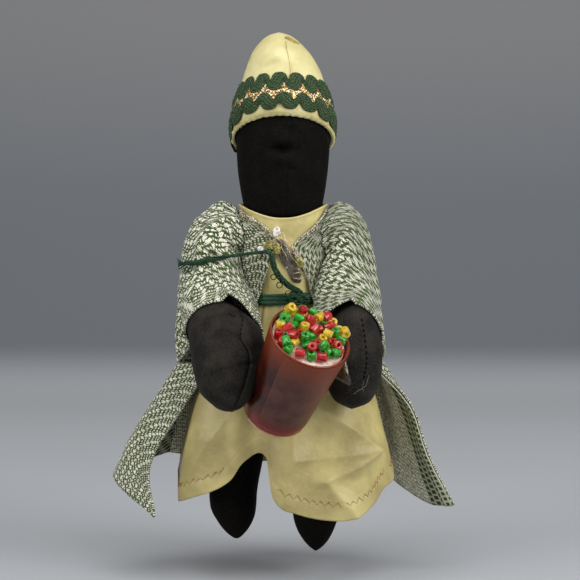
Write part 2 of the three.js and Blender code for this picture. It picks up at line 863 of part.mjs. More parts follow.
function makeCup() {
  const profile = [
    new THREE.Vector2(0, 0),
    new THREE.Vector2(cupBaseRadius, 0),
    new THREE.Vector2(cupRadiusAt(cupHeight / 2), cupHeight / 2),
    new THREE.Vector2(cupRimRadius, cupHeight),
    new THREE.Vector2(cupRimRadius - cupWall, cupHeight),
    new THREE.Vector2(cupRadiusAt(cupHeight / 2) - cupWall, cupHeight / 2),
    new THREE.Vector2(cupRadiusAt(cupFloor) - cupWall, cupFloor),
    new THREE.Vector2(0, cupFloor),
  ];
  return turned(profile, 32, upright);
}
addMesh("cup", makeCup(), redPlastic, cupGroup);

const fillTop = cupHeight - fillDepth;
const fillEdge = cupRadiusAt(fillTop) - cupWall - seam;
const heapStations = [
  [0, fillTop + 3],
  [fillEdge * 0.54, fillTop + 2.6],
  [fillEdge, fillTop + 2.2],
];
const heapTop = (radius) => along(heapStations, radius);

function makeFill() {
  const bottom = cupFloor + seam;
  const profile = [
    new THREE.Vector2(0, bottom),
    new THREE.Vector2(cupRadiusAt(bottom) - cupWall - seam, bottom),
  ];
  for (const share of [1, 0.8, 0.6, 0.4, 0.2, 0]) {
    profile.push(new THREE.Vector2(fillEdge * share, heapTop(fillEdge * share)));
  }
  return turned(profile, 28, (radius, angle, height) => {
    const point = upright(radius, angle, height);
    if (height > fillTop) point.z += heapLean * point.y;
    return point;
  });
}
addMesh("cup_fill", makeFill(), whiteFiller, cupGroup);

// Each bead's colour, its place to the left and back in rim radii, and whether it stands on its end
const beadPlaces = [
  ["green", -0.679, 0.366, false],
  ["red", -0.763, -0.241, true],
  ["yellow", -0.522, 0.603, true],
  ["green", -0.469, 0.134, false],
  ["red", -0.647, -0.469, true],
  ["green", -0.027, 0.768, false],
  ["green", 0.268, 0.5, true],
  ["red", 0.259, 0.754, true],
  ["yellow", -0.768, 0.04, false],
  ["green", 0.75, 0.17, false],
  ["red", 0.451, 0.259, false],
  ["green", -0.469, -0.647, true],
  ["red", -0.174, 0.228, false],
  ["yellow", -0.299, 0.482, true],
  ["green", -0.0, -0.031, false],
  ["red", -0.281, -0.08, true],
  ["yellow", 0.482, 0.638, true],
  ["green", 0.094, -0.598, true],
  ["red", 0.196, -0.237, true],
  ["green", -0.058, -0.357, false],
  ["yellow", 0.656, 0.455, true],
  ["red", -0.183, -0.647, false],
  ["green", 0.46, -0.339, false],
  ["red", 0.536, -0.013, true],
  ["yellow", -0.371, -0.384, false],
  ["green", -0.308, 0.737, true],
  ["red", 0.741, -0.205, false],
  ["yellow", 0.281, 0.004, true],
  ["green", -0.527, -0.147, true],
  ["red", 0.138, 0.25, false],
];
const beadTurn = degToRad(137.5);

function makeBead() {
  const half = beadLength / 2;
  const profile = [
    new THREE.Vector2(beadRadius, -half),
    new THREE.Vector2(beadRadius, half),
    new THREE.Vector2(beadBore, half),
    new THREE.Vector2(beadBore, -half),
    new THREE.Vector2(beadRadius, -half),
  ];
  return turned(profile, 8, upright);
}

beadPlaces.forEach(([colour, left, back, stands], i) => {
  const name = "bead_" + String(i + 1).padStart(2, "0") + "_" + colour;
  const bead = addMesh(name, makeBead(), beadColours[colour], cupGroup);
  const place = new THREE.Vector2(left, back).multiplyScalar(cupRimRadius);
  const up = heapTop(place.length()) + heapLean * place.y + seam + 0.1;
  bead.position.set(place.x, place.y, up + (stands ? beadLength / 2 : beadRadius));
  bead.rotation.set(0, 0, i * beadTurn);
  if (!stands) bead.rotateY(Math.PI / 2);
});

addMesh("cup_label", labelSolid(0), frosted, cupGroup);

// Dried clear glue: a smear down the chest, and a web between the cup and the left hand
function makeChestGlue() {
  return sheet(4, 6, 1, (u, v) => {
    const height = lerp(11, 36, v);
    const width = 3 + 3 * Math.sin(Math.PI * v);
    const x = lerp(8, 0, v) + (u - 0.5) * width;
    return onBody(Math.asin(x / chestHalfWidth), height, robeOuter + seam + 0.6);
  });
}
addMesh("chest_glue", makeChestGlue(), clearGlue);

function makeHandGlue() {
  const web = new THREE.SphereGeometry(1, 12, 8);
  web.scale(8.5, 3.5, 7.5);
  web.rotateZ(degToRad(-40));
  web.translate(30, -58, -34);
  const hand = armShape(leftArmLine, leftHandRadius, 1, seam);
  return cut(closed(web), hand, ...cupClear);
}
addMesh("hand_glue", makeHandGlue(), clearGlue);

// Loose green floss from the sash knot up over the chest and across the right sleeve
const flossRoute = [
  at(10, -25.8, 5.2),
  at(9.6, -26.2, 7.4),
  at(5, -27.6, 9.4),
  at(-0.8, -28.4, 12.6),
  at(-5.6, -28.4, 18.5),
  at(-6.8, -28.2, 26),
  at(-9.5, -27.6, 28.6),
  at(-14, -26.8, 28.4),
  at(-21.5, -25.2, 27.4),
  at(-30, -24.6, 26.2),
  at(-37, -24.8, 25),
  at(-44, -25.6, 23.8),
  at(-50, -25.2, 22.6),
  at(-55, -23.2, 22),
  at(-59.4, -19.6, 21.4),
];
function makeFloss() {
  const section = new THREE.Shape();
  const sides = 8;
  for (let i = 0; i < sides; i += 1) {
    const turn = (i / sides) * 2 * Math.PI;
    section[i ? "lineTo" : "moveTo"](flossRadius * Math.cos(turn), flossRadius * Math.sin(turn));
  }
  const path = new THREE.CatmullRomCurve3(flossRoute, false, "centripetal");
  const options = { steps: 32, bevelEnabled: false, extrudePath: path };
  return closed(new THREE.ExtrudeGeometry(section, options));
}
addMesh("green_floss", makeFloss(), greenFloss);

export default doll;
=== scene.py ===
"""A black cloth doll in a satin robe, a woven coat and a pointed cap, holding a cup of beads."""
import math
from functools import lru_cache

import bpy
from mathutils import Matrix, Vector, noise


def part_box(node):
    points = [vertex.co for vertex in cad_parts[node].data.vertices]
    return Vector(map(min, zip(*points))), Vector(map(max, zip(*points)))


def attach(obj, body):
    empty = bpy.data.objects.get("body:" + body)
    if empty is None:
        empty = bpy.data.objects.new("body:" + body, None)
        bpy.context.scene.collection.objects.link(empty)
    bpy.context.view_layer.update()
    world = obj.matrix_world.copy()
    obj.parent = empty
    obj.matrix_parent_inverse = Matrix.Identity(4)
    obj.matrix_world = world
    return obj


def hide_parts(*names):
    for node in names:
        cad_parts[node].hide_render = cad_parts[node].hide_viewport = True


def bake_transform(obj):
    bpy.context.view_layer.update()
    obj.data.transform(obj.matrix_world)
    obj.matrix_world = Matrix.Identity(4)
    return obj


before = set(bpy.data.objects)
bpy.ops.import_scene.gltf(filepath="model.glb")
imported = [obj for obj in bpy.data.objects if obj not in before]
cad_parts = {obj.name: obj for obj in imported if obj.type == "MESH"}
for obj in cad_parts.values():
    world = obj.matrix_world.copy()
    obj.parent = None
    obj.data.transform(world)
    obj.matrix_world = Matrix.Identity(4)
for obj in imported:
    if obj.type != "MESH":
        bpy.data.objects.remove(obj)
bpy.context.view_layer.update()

# Camera. The photograph was taken from about a metre in front of the doll, 3 degrees above
# its waist, and its frame is 336 mm wide at the doll.
mm = 0.001
camera_distance = 1.0
camera_rise = math.radians(3)
frame_middle = Vector((4.06, 0, 5.8)) * mm
sensor_width = 36
frame_width = 336.4 * mm

bpy.ops.object.select_all(action="DESELECT")
bpy.ops.object.camera_add(
    location=frame_middle
    + camera_distance * Vector((0, -math.cos(camera_rise), math.sin(camera_rise))),
    rotation=(math.pi / 2 - camera_rise, 0, 0),
)
camera = bpy.context.object
camera.data.sensor_width = sensor_width
camera.data.lens = sensor_width * camera_distance / frame_width
camera.data.clip_end = 20
bpy.context.scene.camera = camera

# Green floss. A bundle of fine cotton crochet thread, tied in at the sash. It runs up over the
# chest, turns, lies across the right sleeve and ends frayed. Small picots hang from it.
strand_thickness = 0.85
floss_route = [
    (10, -25.8, 5.2),
    (9, -26.4, 6.4),
    (5.6, -27.6, 8.2),
    (0.6, -28.4, 12),
    (-3.6, -28.8, 17.4),
    (-5.6, -28.8, 23),
    (-6.6, -28.6, 27.4),
    (-9.8, -27.8, 28.7),
    (-14, -26.8, 28.4),
    (-21.5, -25.2, 27.4),
    (-30, -24.6, 26.2),
    (-37, -24.8, 25),
    (-44, -25.6, 23.8),
    (-50, -25.2, 22.6),
    (-55, -23.2, 22),
    (-59.4, -19.6, 21.4),
]


full_turn = 2 * math.pi


def lerp(start, end, share):
    return start + (end - start) * share


def clamp(value, low=0.0, high=1.0):
    return max(low, min(high, value))


def eased(value, low, high):
    """0 below low, 1 above high, and an even curve between them."""
    share = clamp((value - low) / (high - low))
    return share * share * (3 - 2 * share)


def on_line(points, share):
    """A point on the smooth line through some points: share runs from 0 to 1."""
    points = [Vector(point) for point in points]
    place = share * (len(points) - 1)
    i = min(int(place), len(points) - 2)
    t = place - i
    b, c = points[i], points[i + 1]
    a = points[i - 1] if i else b * 2 - c
    d = points[i + 2] if i + 2 < len(points) else c * 2 - b
    steps = [max((q - p).length, 1e-4) ** 0.5 for p, q in ((a, b), (b, c), (c, d))]
    leaving = (b - a) / steps[0] - (c - a) / (steps[0] + steps[1]) + (c - b) / steps[1]
    coming = (c - b) / steps[1] - (d - b) / (steps[1] + steps[2]) + (d - c) / steps[2]
    leaving, coming = leaving * steps[1], coming * steps[1]
    square, cube = (c - b) * 3 - leaving * 2 - coming, (b - c) * 2 + leaving + coming
    return b + leaving * t + square * t**2 + cube * t**3


def rough(point, size, seed=0):
    """Smooth noise from -1 to 1 at a point, with lumps of some size."""
    return noise.noise(Vector(point) / size + Vector((seed * 7.3, seed * 3.1, seed * 1.7)))


def run_threads(name, lines, thickness, sides=1):
    """Threads of one thickness along lines of points, as one mesh."""
    bpy.ops.object.select_all(action="DESELECT")
    bpy.ops.curve.primitive_nurbs_path_add()
    piece = bpy.context.object
    piece.name = piece.data.name = name
    piece.data.splines.clear()
    for line in lines:
        spline = piece.data.splines.new("POLY")
        spline.points.add(len(line) - 1)
        for knot, point in zip(spline.points, line):
            knot.co = (*(Vector(point) * mm), 1)
    piece.data.bevel_depth = thickness / 2 * mm
    piece.data.bevel_resolution = sides
    piece.data.use_fill_caps = True
    bpy.ops.object.convert(target="MESH")
    bpy.ops.object.shade_smooth()
    return bpy.context.object


strands = 9
strand_steps = 150
strand_twist = 26
frayed_width = 3


def floss_strand(number):
    """One strand of the bundle, twisted with the others and splayed at the frayed end."""
    line = []
    for i in range(strand_steps + 1):
        share = i / strand_steps
        centre = on_line(floss_route, share)
        ahead = on_line(floss_route, min(share + 0.01, 1)) - on_line(floss_route, share - 0.01)
        front = Vector((0, -1, 0))
        side = ahead.cross(front).normalized()
        thin = 1 - 0.5 * eased(share, 0.42, 0.5) * (1 - eased(share, 0.62, 0.78))
        turn = number / strands * full_turn + share * strand_twist + 0.7 * rough((share * 9, number, 0), 1)
        reach = thin * (0.25 if number == 0 else 1) * (1 + 0.4 * (1 - eased(share, 0.3, 0.42)))
        splay = frayed_width * eased(share, 0.9, 1.02)
        reach += 0.25 * rough((share * 14, number * 5, 3), 1)
        lift = front * math.cos(turn) * 0.7 * reach
        fan = (number / (strands - 1) - 0.5) * 2 * splay
        line.append(centre + side * (math.sin(turn) * reach + fan) + lift)
    return line


class Wire:
    """A socket that shader maths is written on."""

    def __init__(self, look, socket):
        self.look, self.socket = look, socket

    def maths(self, operation, *values):
        return self.look.node("ShaderNodeMath", {"operation": operation}, dict(enumerate(values)))

    def __add__(self, other):
        return self.maths("ADD", self, other)

    def __sub__(self, other):
        return self.maths("SUBTRACT", self, other)

    def __rsub__(self, other):
        return self.maths("SUBTRACT", other, self)

    def __mul__(self, other):
        return self.maths("MULTIPLY", self, other)

    def __truediv__(self, other):
        return self.maths("DIVIDE", self, other)

    def __pow__(self, other):
        return self.maths("POWER", self, other)

    def __abs__(self):
        return self.maths("ABSOLUTE", self)

    __radd__ = __add__
    __rmul__ = __mul__

    def part(self):
        return self.maths("FRACT", self)

    def whole(self):
        return self.maths("FLOOR", self)

    def sine(self):
        return self.maths("SINE", self)

    def most(self, other):
        return self.maths("MAXIMUM", self, other)


class Look:
    """One finish, made of nodes. Lengths in it are millimetres."""

    def __init__(self, name, fixed):
        self.material = bpy.data.materials.new(name)
        self.material.use_nodes = True
        tree = self.material.node_tree
        self.nodes, self.links = tree.nodes, tree.links
        self.shader = self.nodes["Principled BSDF"]
        self.feed(fixed)

    def plug(self, node, inputs):
        for name, value in inputs.items():
            if isinstance(value, Wire):
                self.links.new(value.socket, node.inputs[name])
            else:
                node.inputs[name].default_value = value

    def node(self, kind, settings, inputs, output=0):
        made = self.nodes.new(kind)
        for name, value in settings.items():
            setattr(made, name, value)
        self.plug(made, inputs)
        return Wire(self, made.outputs[output])

    def feed(self, inputs):
        self.plug(self.shader, inputs)

    def place(self, stretch=(1, 1, 1)):
        """Where a point of the piece is, in millimetres."""
        here = self.node("ShaderNodeTexCoord", {}, {}, "Object")
        scale = tuple(value / mm for value in stretch)
        return self.node("ShaderNodeVectorMath", {"operation": "MULTIPLY"}, {0: here, 1: scale})

    def parts(self, vector):
        """The x, y and z of a vector."""
        outputs = self.node("ShaderNodeSeparateXYZ", {}, {0: vector}).socket.node.outputs
        return [Wire(self, output) for output in outputs]

    def threads(self):
        """How far across and up the cloth's threads a point is."""
        return self.parts(self.node("ShaderNodeUVMap", {"uv_map": "Threads"}, {}))[:2]

    def point(self, across, along):
        return self.node("ShaderNodeCombineXYZ", {}, {0: across, 1: along})

    def lumps(self, place, size, detail=2.0, roughness=0.5):
        inputs = {"Vector": place, "Scale": 1 / size, "Detail": detail, "Roughness": roughness}
        return self.node("ShaderNodeTexNoise", {}, inputs)

    def rise(self, value, low, high):
        settings = {"interpolation_type": "SMOOTHSTEP"}
        return self.node("ShaderNodeMapRange", settings, {0: value, 1: low, 2: high})

    def mix(self, share, first, second):
        return self.node("ShaderNodeMix", {"data_type": "RGBA"}, {0: share, 6: first, 7: second}, 2)

    def relief(self, height, depth, under=None):
        """Bumps up to some depth."""
        inputs = {"Height": height, "Distance": depth * mm, "Strength": 1.0}
        if under:
            inputs["Normal"] = under
        return self.node("ShaderNodeBump", {}, inputs)

    def onto(self, *pieces):
        for piece in pieces:
            piece.data.materials.clear()
            piece.data.materials.append(self.material)


def dye(red, green, blue):
    """A colour given as it looks, from 0 to 255, as the shader takes it."""
    light = [((c / 255 + 0.055) / 1.055) ** 2.4 if c > 10 else c / 255 / 12.92 for c in (red, green, blue)]
    return (*light, 1)


floss_look = Look("green_cotton_floss", {"Roughness": 0.45, "Specular IOR Level": 0.3, "Sheen Weight": 0.05})
along_strand = floss_look.lumps(floss_look.place(), 1.1, 3)
fine_strand = floss_look.lumps(floss_look.place((1, 1, 3)), 0.35)
# The pale green where the fine lumps of the strands rise is a painted highlight.
floss_colour = floss_look.mix(floss_look.rise(along_strand, 0.42, 0.72), dye(0, 30, 10), dye(6, 82, 38))
floss_look.feed({
    "Base Color": floss_look.mix(floss_look.rise(fine_strand, 0.66, 0.82), floss_colour, dye(64, 140, 88)),
    "Normal": floss_look.relief(fine_strand, 0.12),
})

floss_lines = [floss_strand(number) for number in range(strands)]
floss = run_threads("loose_green_floss", floss_lines, strand_thickness)


def ring(centre, radius, lean):
    """A small loop of thread that hangs from a point just above its centre."""
    line = []
    for i in range(19):
        angle = (i / 18 + 0.25) * full_turn
        out = Vector((math.cos(angle) * radius, -0.5 + 0.25 * math.sin(2 * angle), math.sin(angle) * radius))
        line.append(Vector(centre) + Matrix.Rotation(lean, 3, "Y") @ out)
    return line


sleeve_rings = (
    ((-54.6, -22.6, 18.4), 1.5, 0.2), ((-48.9, -24.6, 18.6), 1.6, -0.3), ((-43.6, -25, 20.6), 1.3, 0.4),
)
chest_rings = (((-5.3, -27.8, 14.6), 1.45, 0.3), ((-1.9, -27.8, 10), 1.6, -0.2), ((3, -27.8, 5.4), 1.5, 0.5))
sleeve_loops = run_threads("floss_picots_on_sleeve", [ring(*loop) for loop in sleeve_rings], 0.5)
chest_loops = run_threads("floss_picots_on_chest", [ring(*loop) for loop in chest_rings], 0.62)
tangle_lines = []
for number in range(9):
    middle = Vector((6.5 + 1.1 * (number % 5), -26.6 - 0.25 * number, 4.4 - 0.75 * (number // 2)))
    reach = Vector((3.4 + 0.8 * rough((number, 0, 0), 0.7), 0.8, 1.7 + 0.6 * rough((0, number, 0), 0.7)))
    line = []
    for i in range(33):
        angle = i / 32 * full_turn
        swing = Vector((math.sin(angle + number), math.sin(2 * angle), math.cos(angle * (1 + number % 2))))
        line.append(middle + swing * reach)
    tangle_lines.append(line)
floss_tangle = run_threads("floss_tangle_at_sash", tangle_lines, 0.6)
floss_look.onto(floss, sleeve_loops, chest_loops, floss_tangle)

route_points = [on_line(floss_route, i / 90) * mm for i in range(91)]
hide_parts("green_floss")
for piece in (floss, sleeve_loops):
    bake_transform(piece)
for piece in (chest_loops, floss_tangle):
    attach(piece, "trunk")

# Stuffed body. Closely woven black cotton, sewn right sides together, turned and filled with
# fibre, so each piece swells between its seams. The arms and the torso are mostly under the clothes.


def pick(*pieces):
    """Selects pieces alone, with the first of them active."""
    bpy.ops.object.select_all(action="DESELECT")
    for piece in pieces:
        piece.select_set(True)
    bpy.context.view_layer.objects.active = pieces[0]


def worked(piece, kind, **settings):
    """Puts a modifier on a piece and applies it."""
    pick(piece)
    made = piece.modifiers.new(kind, kind)
    for name, value in settings.items():
        setattr(made, name, value)
    bpy.ops.object.modifier_apply(modifier=made.name)


def in_edit_mode(piece, *steps):
    """Runs edit-mode steps on all of a piece."""
    pick(piece)
    bpy.ops.object.mode_set(mode="EDIT")
    bpy.ops.mesh.select_all(action="SELECT")
    for step in steps:
        step()
    bpy.ops.object.mode_set(mode="OBJECT")


def shape(piece, move):
    """Moves each point of a piece: move takes and gives millimetres."""
    for vertex in piece.data.vertices:
        vertex.co = Vector(move(vertex.co / mm)) * mm
    piece.data.update()


def join_doubles():
    bpy.ops.mesh.remove_doubles(threshold=1e-5)


filling_steps = 20


def from_solid(node, name, mesh_size, rounds):
    """A fine-meshed copy of a CAD solid, softened a few rounds."""
    piece = bpy.data.objects.new(name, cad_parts[node].data.copy())
    bpy.context.scene.collection.objects.link(piece)
    in_edit_mode(piece, join_doubles)
    worked(piece, "REMESH", mode="VOXEL", voxel_size=mesh_size * mm)
    worked(piece, "SMOOTH", factor=0.5, iterations=rounds)
    return piece


def stuffed(node, name, mesh_size, sewn, swell):
    """A stuffed skin in place of a CAD solid. sewn gives how far a point is from a seam line."""
    piece = from_solid(node, name, mesh_size, 6)
    held = piece.vertex_groups.new(name="sewn")
    near = [v.index for v in piece.data.vertices if sewn(v.co / mm) < mesh_size]
    held.add(near, 1.0, "REPLACE")
    before = [v.co.copy() for v in piece.data.vertices]
    fill = piece.modifiers.new("Fill", "CLOTH")
    fill.settings.use_pressure = True
    fill.settings.uniform_pressure_force = 4
    fill.settings.effector_weights.gravity = 0
    fill.settings.vertex_group_mass = "sewn"
    fill.settings.quality = 4
    for step in range(1, filling_steps + 1):
        bpy.context.scene.frame_set(step)
    bpy.ops.object.modifier_apply(modifier=fill.name)
    for vertex, start in zip(piece.data.vertices, before):
        moved = vertex.co - start
        if moved.length > swell * mm:
            vertex.co = start + moved.normalized() * swell * mm
    bpy.context.scene.frame_set(1)
    worked(piece, "SMOOTH", factor=0.5, iterations=2)
    worked(piece, "SUBSURF", levels=1, render_levels=1)
    bpy.ops.object.shade_smooth()
    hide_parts(node)
    return piece


def cotton(name, gloss, deep, bright, lint):
    """Black cotton: a fine weave, uneven dye, and lint that catches the light."""
    look = Look(name, {
        "Roughness": 0.75,
        "Specular IOR Level": gloss,
        "Sheen Weight": gloss * 0.3,
        "Sheen Roughness": 0.4,
        "Sheen Tint": dye(150, 138, 128),
    })
    place = look.place()
    patches = look.lumps(place, 9, 4)
    fluff = look.lumps(look.place((1, 1, 0.5)), 0.6, 3, 0.7)
    weave = look.lumps(place, 0.45, 2)
    colour = look.mix(look.rise(patches, 0.35, 0.7), deep, bright)
    colour = look.mix(look.rise(weave, 0.5, 0.75) * 0.5, colour, lint)
    look.feed({
        "Base Color": look.mix(look.rise(fluff, 0.6, 0.8), colour, lint),
        "Normal": look.relief(weave, 0.22, look.relief(patches, 0.5)),
    })
    return look


cotton_look = cotton("black_cotton_cloth", 0.07, dye(2, 2, 1), dye(8, 7, 5), dye(44, 40, 34))
# The mittens take the same black cotton painted lighter, for the light that falls on them.
mitten_lit_look = cotton("black_cotton_painted_lighter", 0.18, dye(10, 8, 6), dye(35, 31, 27), dye(78, 71, 62))


def along(stations, place):
    """Reads a smooth line through (place, value) stations."""
    last = len(stations) - 1
    at = clamp(place, stations[0][0], stations[last][0])
    i = 0
    while i < last - 1 and at > stations[i + 1][0]:
        i += 1

    def slope(k):
        before, after = stations[max(k - 1, 0)], stations[min(k + 1, last)]
        return (after[1] - before[1]) / (after[0] - before[0])

    (start, first), (end, second) = stations[i], stations[i + 1]
    span = end - start
    t = (at - start) / span
    bend = t * (1 - t) * span
    chord = (second - first) / span
    return lerp(first, second, t) + bend * ((slope(i) - chord) * (1 - t) - (slope(i + 1) - chord) * t)


def between(point, start, end):
    """How far a point is from a straight line between two others."""
    point, start, end = Vector(point), Vector(start), Vector(end)
    run = end - start
    share = clamp((point - start).dot(run) / run.length_squared)
    return (point - start - run * share).length


def hump(value, middle, width):
    """1 at the middle, falling softly to 0 on both sides of it."""
    return math.exp(-(((value - middle) / width) ** 2))


def head_seam(height):
    """Where the front seam of the head is, to the doll's left of its middle."""
    return lerp(1.2, 4, clamp((height - 50) / 50))


def off_head_seams(point):
    front = abs(point.x - head_seam(point.z)) if point.y < 0 else 99
    back = abs(point.x) if point.y > 0 else 99
    return min(front, back)


head = stuffed("head", "stuffed_head", 1.5, off_head_seams, 1.0)


# How deep, where across and up, how wide and how tall: the tuck pinched across the front seam,
# a pinch lower down, the soft lump below the tuck and the swelling above it
front_dents = [
    (4.2, -0.6, 86.2, 4.6, 2.1), (0.8, 5, 75, 2.2, 1.6),
    (-1.6, 0.4, 80.6, 5.5, 3.6), (-1.3, 0.8, 92, 8, 3.2),
]


def front_marks(point):
    """The sunk front seam of the head, and its dents."""
    if point.y > -8:
        return point
    point.y += 0.8 * hump(point.x, head_seam(point.z), 0.9) * (1 - 0.5 * eased(point.z, 60, 70))
    for depth, across, up, wide, tall in front_dents:
        point.y += depth * hump(point.x, across, wide) * hump(point.z, up, tall)
    return point


shape(head, front_marks)


def swelling(size, depth, seed):
    """Soft uneven lumps of the filling."""
    def move(point):
        push = rough(point, size, seed) * depth
        return point + Vector((push, push * 0.6, rough(point, size, seed + 1) * depth * 0.5))
    return move


shape(head, swelling(17, 0.35, 1))
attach(head, "head")

torso = stuffed("torso", "stuffed_torso", 2.2, lambda point: abs(point.x), 0.6)
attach(torso, "trunk")


def off_arm_seam(sign):
    """The mitten's seam runs down its front, over the rounded end and back up inside."""
    def off(point):
        line = lerp(-27, -34, clamp((point.z + 60) / 60)) if sign < 0 else 40
        return abs(point.x - line) if point.z < 10 else 99
    return off


# The right mitten's front seam: heights, and where the seam is across
mitten_bow = [
    (-53.8, -26.1), (-44, -21.6), (-36.3, -19.4), (-29.8, -18.1),
    (-23.8, -18.8), (-16.8, -22.7), (-6.4, -22.3), (4.5, -28.4),
]


def hand_marks(sign):
    """The fullness of each hand, the right one's bowed seam and pinch, and the left one's crease."""
    def move(point):
        if sign < 0:
            hand = 1 - eased(point.z, -30, 0)
            point.x += hand * (0.8 + 1.0 * eased(-point.x, 36, 52))
            point.x = lerp(point.x, -29.5, 0.34 * eased(-point.z, 46, 60))
            point.x += 1.6 * eased(point.x, -24, -14) * hump(point.z, -36, 12)
            point.x += 2.6 * eased(point.x, -30, -17) * hump(point.z, -14, 10)
            point.y -= hand * 1.2
            if point.y < -36:
                point.y += 1.3 * hump(point.x, along(mitten_bow, point.z), 0.8)
                point.y += 1.1 * hump(point.x, -18.6, 3.4) * hump(point.z, -30.4, 1.2)
        else:
            point.x -= 6.7 * eased(point.z, -40, 30) * eased(point.x, 36, 56)
            if point.y < -38:
                crease = between(point, (30, -56, -38.5), (47, -56, -41.5))
                point.y += 0.9 * hump(crease, 0, 1.5)
        return point
    return move


arms = []
for side, sign in (("right", -1), ("left", 1)):
    arm = stuffed(side + "_arm", f"stuffed_{side}_arm", 1.5, off_arm_seam(sign), 0.8)
    shape(arm, hand_marks(sign))
    shape(arm, swelling(15, 0.35, 3 + sign))
    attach(arm, side + "_arm")
    arms.append(arm)

legs = []
for side, middle in (("right", -27.5), ("left", 19)):
    leg = stuffed(side + "_leg", f"stuffed_{side}_leg", 1.5, lambda point, x=middle: abs(point.x - x), 0.6)
    shape(leg, swelling(16, 0.4, 6 + middle))
    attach(leg, side + "_leg")
    legs.append(leg)
cotton_look.onto(head, torso, *legs)
mitten_lit_look.onto(*arms)

# Stitches on the black cotton. Short hand stitches in black thread close the seams of the head
# and of the mittens. Their sunk ends show as dots.


def plain_look(name, fixed, size, detail, dark, pale, rise=None, bump=None):
    """A finish of two dyes in soft patches of some size, with bumps where it has any."""
    look = Look(name, fixed)
    patches = look.lumps(look.place(), size, detail)
    shade = look.rise(patches, *rise) if rise else patches
    look.feed({"Base Color": look.mix(shade, dye(*dark), dye(*pale))})
    if bump:
        look.feed({"Normal": look.relief(patches, bump)})
    return look


def belongs(piece, body, node=None):
    """Hides the CAD solid a piece stands for, if any, and attaches the piece to its body."""
    if node:
        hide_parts(node)
    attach(piece, body)


def nearest_on(piece, place, lift=0.0):
    """The point of a piece that is nearest to a place, lifted off it a little."""
    found, point, normal, face = piece.closest_point_on_mesh(Vector(place) * mm)
    return (point + normal * lift * mm) / mm


def front_of(piece, place, lift=0.0):
    """The point of a piece straight behind a place, lifted off it a little."""
    found, point, normal, face = piece.ray_cast(Vector((place[0], -120, place[2])) * mm, Vector((0, 1, 0)))
    return (point + normal * lift * mm) / mm if found else nearest_on(piece, place, lift)


def stitch_line(piece, route, count, length, lift=0.12):
    """Short stitches along a line over a piece, sunk at both ends."""
    lines = []
    for i in range(count):
        share = (i + 0.5) / count
        here = on_line(route, share)
        ahead = (on_line(route, min(share + 0.02, 1)) - on_line(route, share - 0.02)).normalized()
        places = (here - ahead * length / 2, here, here + ahead * length / 2)
        lines.append([front_of(piece, place, off) for place, off in zip(places, (-0.2, lift, -0.2))])
    return lines


head_lines = [
    *stitch_line(head, [(3.9, -30, 99.5), (3.4, -30, 94), (3, -30, 89)], 9, 0.9),
    *stitch_line(head, [(2.6, -30, 75), (2.3, -30, 69), (2, -30, 62)], 9, 0.9),
]
mitten_route = [(43.5, -62, -7), (45.2, -62, -18), (46, -60, -30), (44.4, -60, -40)]
bow_route = [(out, -64, height) for height, out in reversed(mitten_bow)]
stitch_look = plain_look(
    "black_sewing_thread", {"Roughness": 0.8, "Specular IOR Level": 0.1}, 0.5, 2, (1, 1, 1), (8, 7, 6)
)
for name, lines, thickness, body in (
    ("head_seam_stitches", head_lines, 0.55, "head"),
    ("mitten_seam_stitches", stitch_line(arms[1], mitten_route, 12, 1.2, 0.2), 1.1, "left_arm"),
    ("right_mitten_seam_stitches", stitch_line(arms[0], bow_route, 34, 1.4, 0.2), 0.7, "right_arm"),
):
    stitches = run_threads(name, lines, thickness)
    stitch_look.onto(stitches)
    belongs(stitches, body)
lint_lines = [
    [nearest_on(arms[1], on_line(route, step / 12), 0.1) for step in range(13)]
    for route in (
        [(52, -66, -38), (50, -66, -45), (42, -66, -48), (39, -66, -51)],
        [(47, -66, -42), (46, -66, -46), (48, -66, -49)],
    )
]
mitten_lint = run_threads("pale_threads_on_left_mitten", lint_lines, 0.2)
plain_look("pale_lint", {"Roughness": 0.8}, 1.2, 2, (60, 56, 50), (170, 164, 150)).onto(mitten_lint)
belongs(mitten_lint, "left_arm")

# Cap. Four gores of cream cotton sateen, seamed to a point, with a lining inside. Its edge is
# rolled over a cord. It sits tilted back on the head and is glued to it.
cap_height = 62
brim_height = 93
cap_set_back = 7
cap_wall = 1.0
cap_radii = [
    (0, 29.25), (9.92, 29.25), (18.6, 27.8), (26.04, 25.5), (32.86, 23.3),
    (40.3, 21), (47.74, 17.4), (55.18, 11.6), (59.52, 6.5), (62, 0),
]
cap_tilts = [(0, 27), (5.75, 19), (11.5, 17), (26, 15), (62, 8)]


def on_cap(radius, angle, rise):
    """A point on the ring of the cap at a rise above the brim. The rings tilt back."""
    tilt = math.radians(along(cap_tilts, rise))
    return Vector((
        radius * math.sin(angle),
        cap_set_back * rise / cap_height - radius * math.cos(angle) * math.cos(tilt),
        brim_height + rise + radius * math.cos(angle) * math.sin(tilt),
    ))


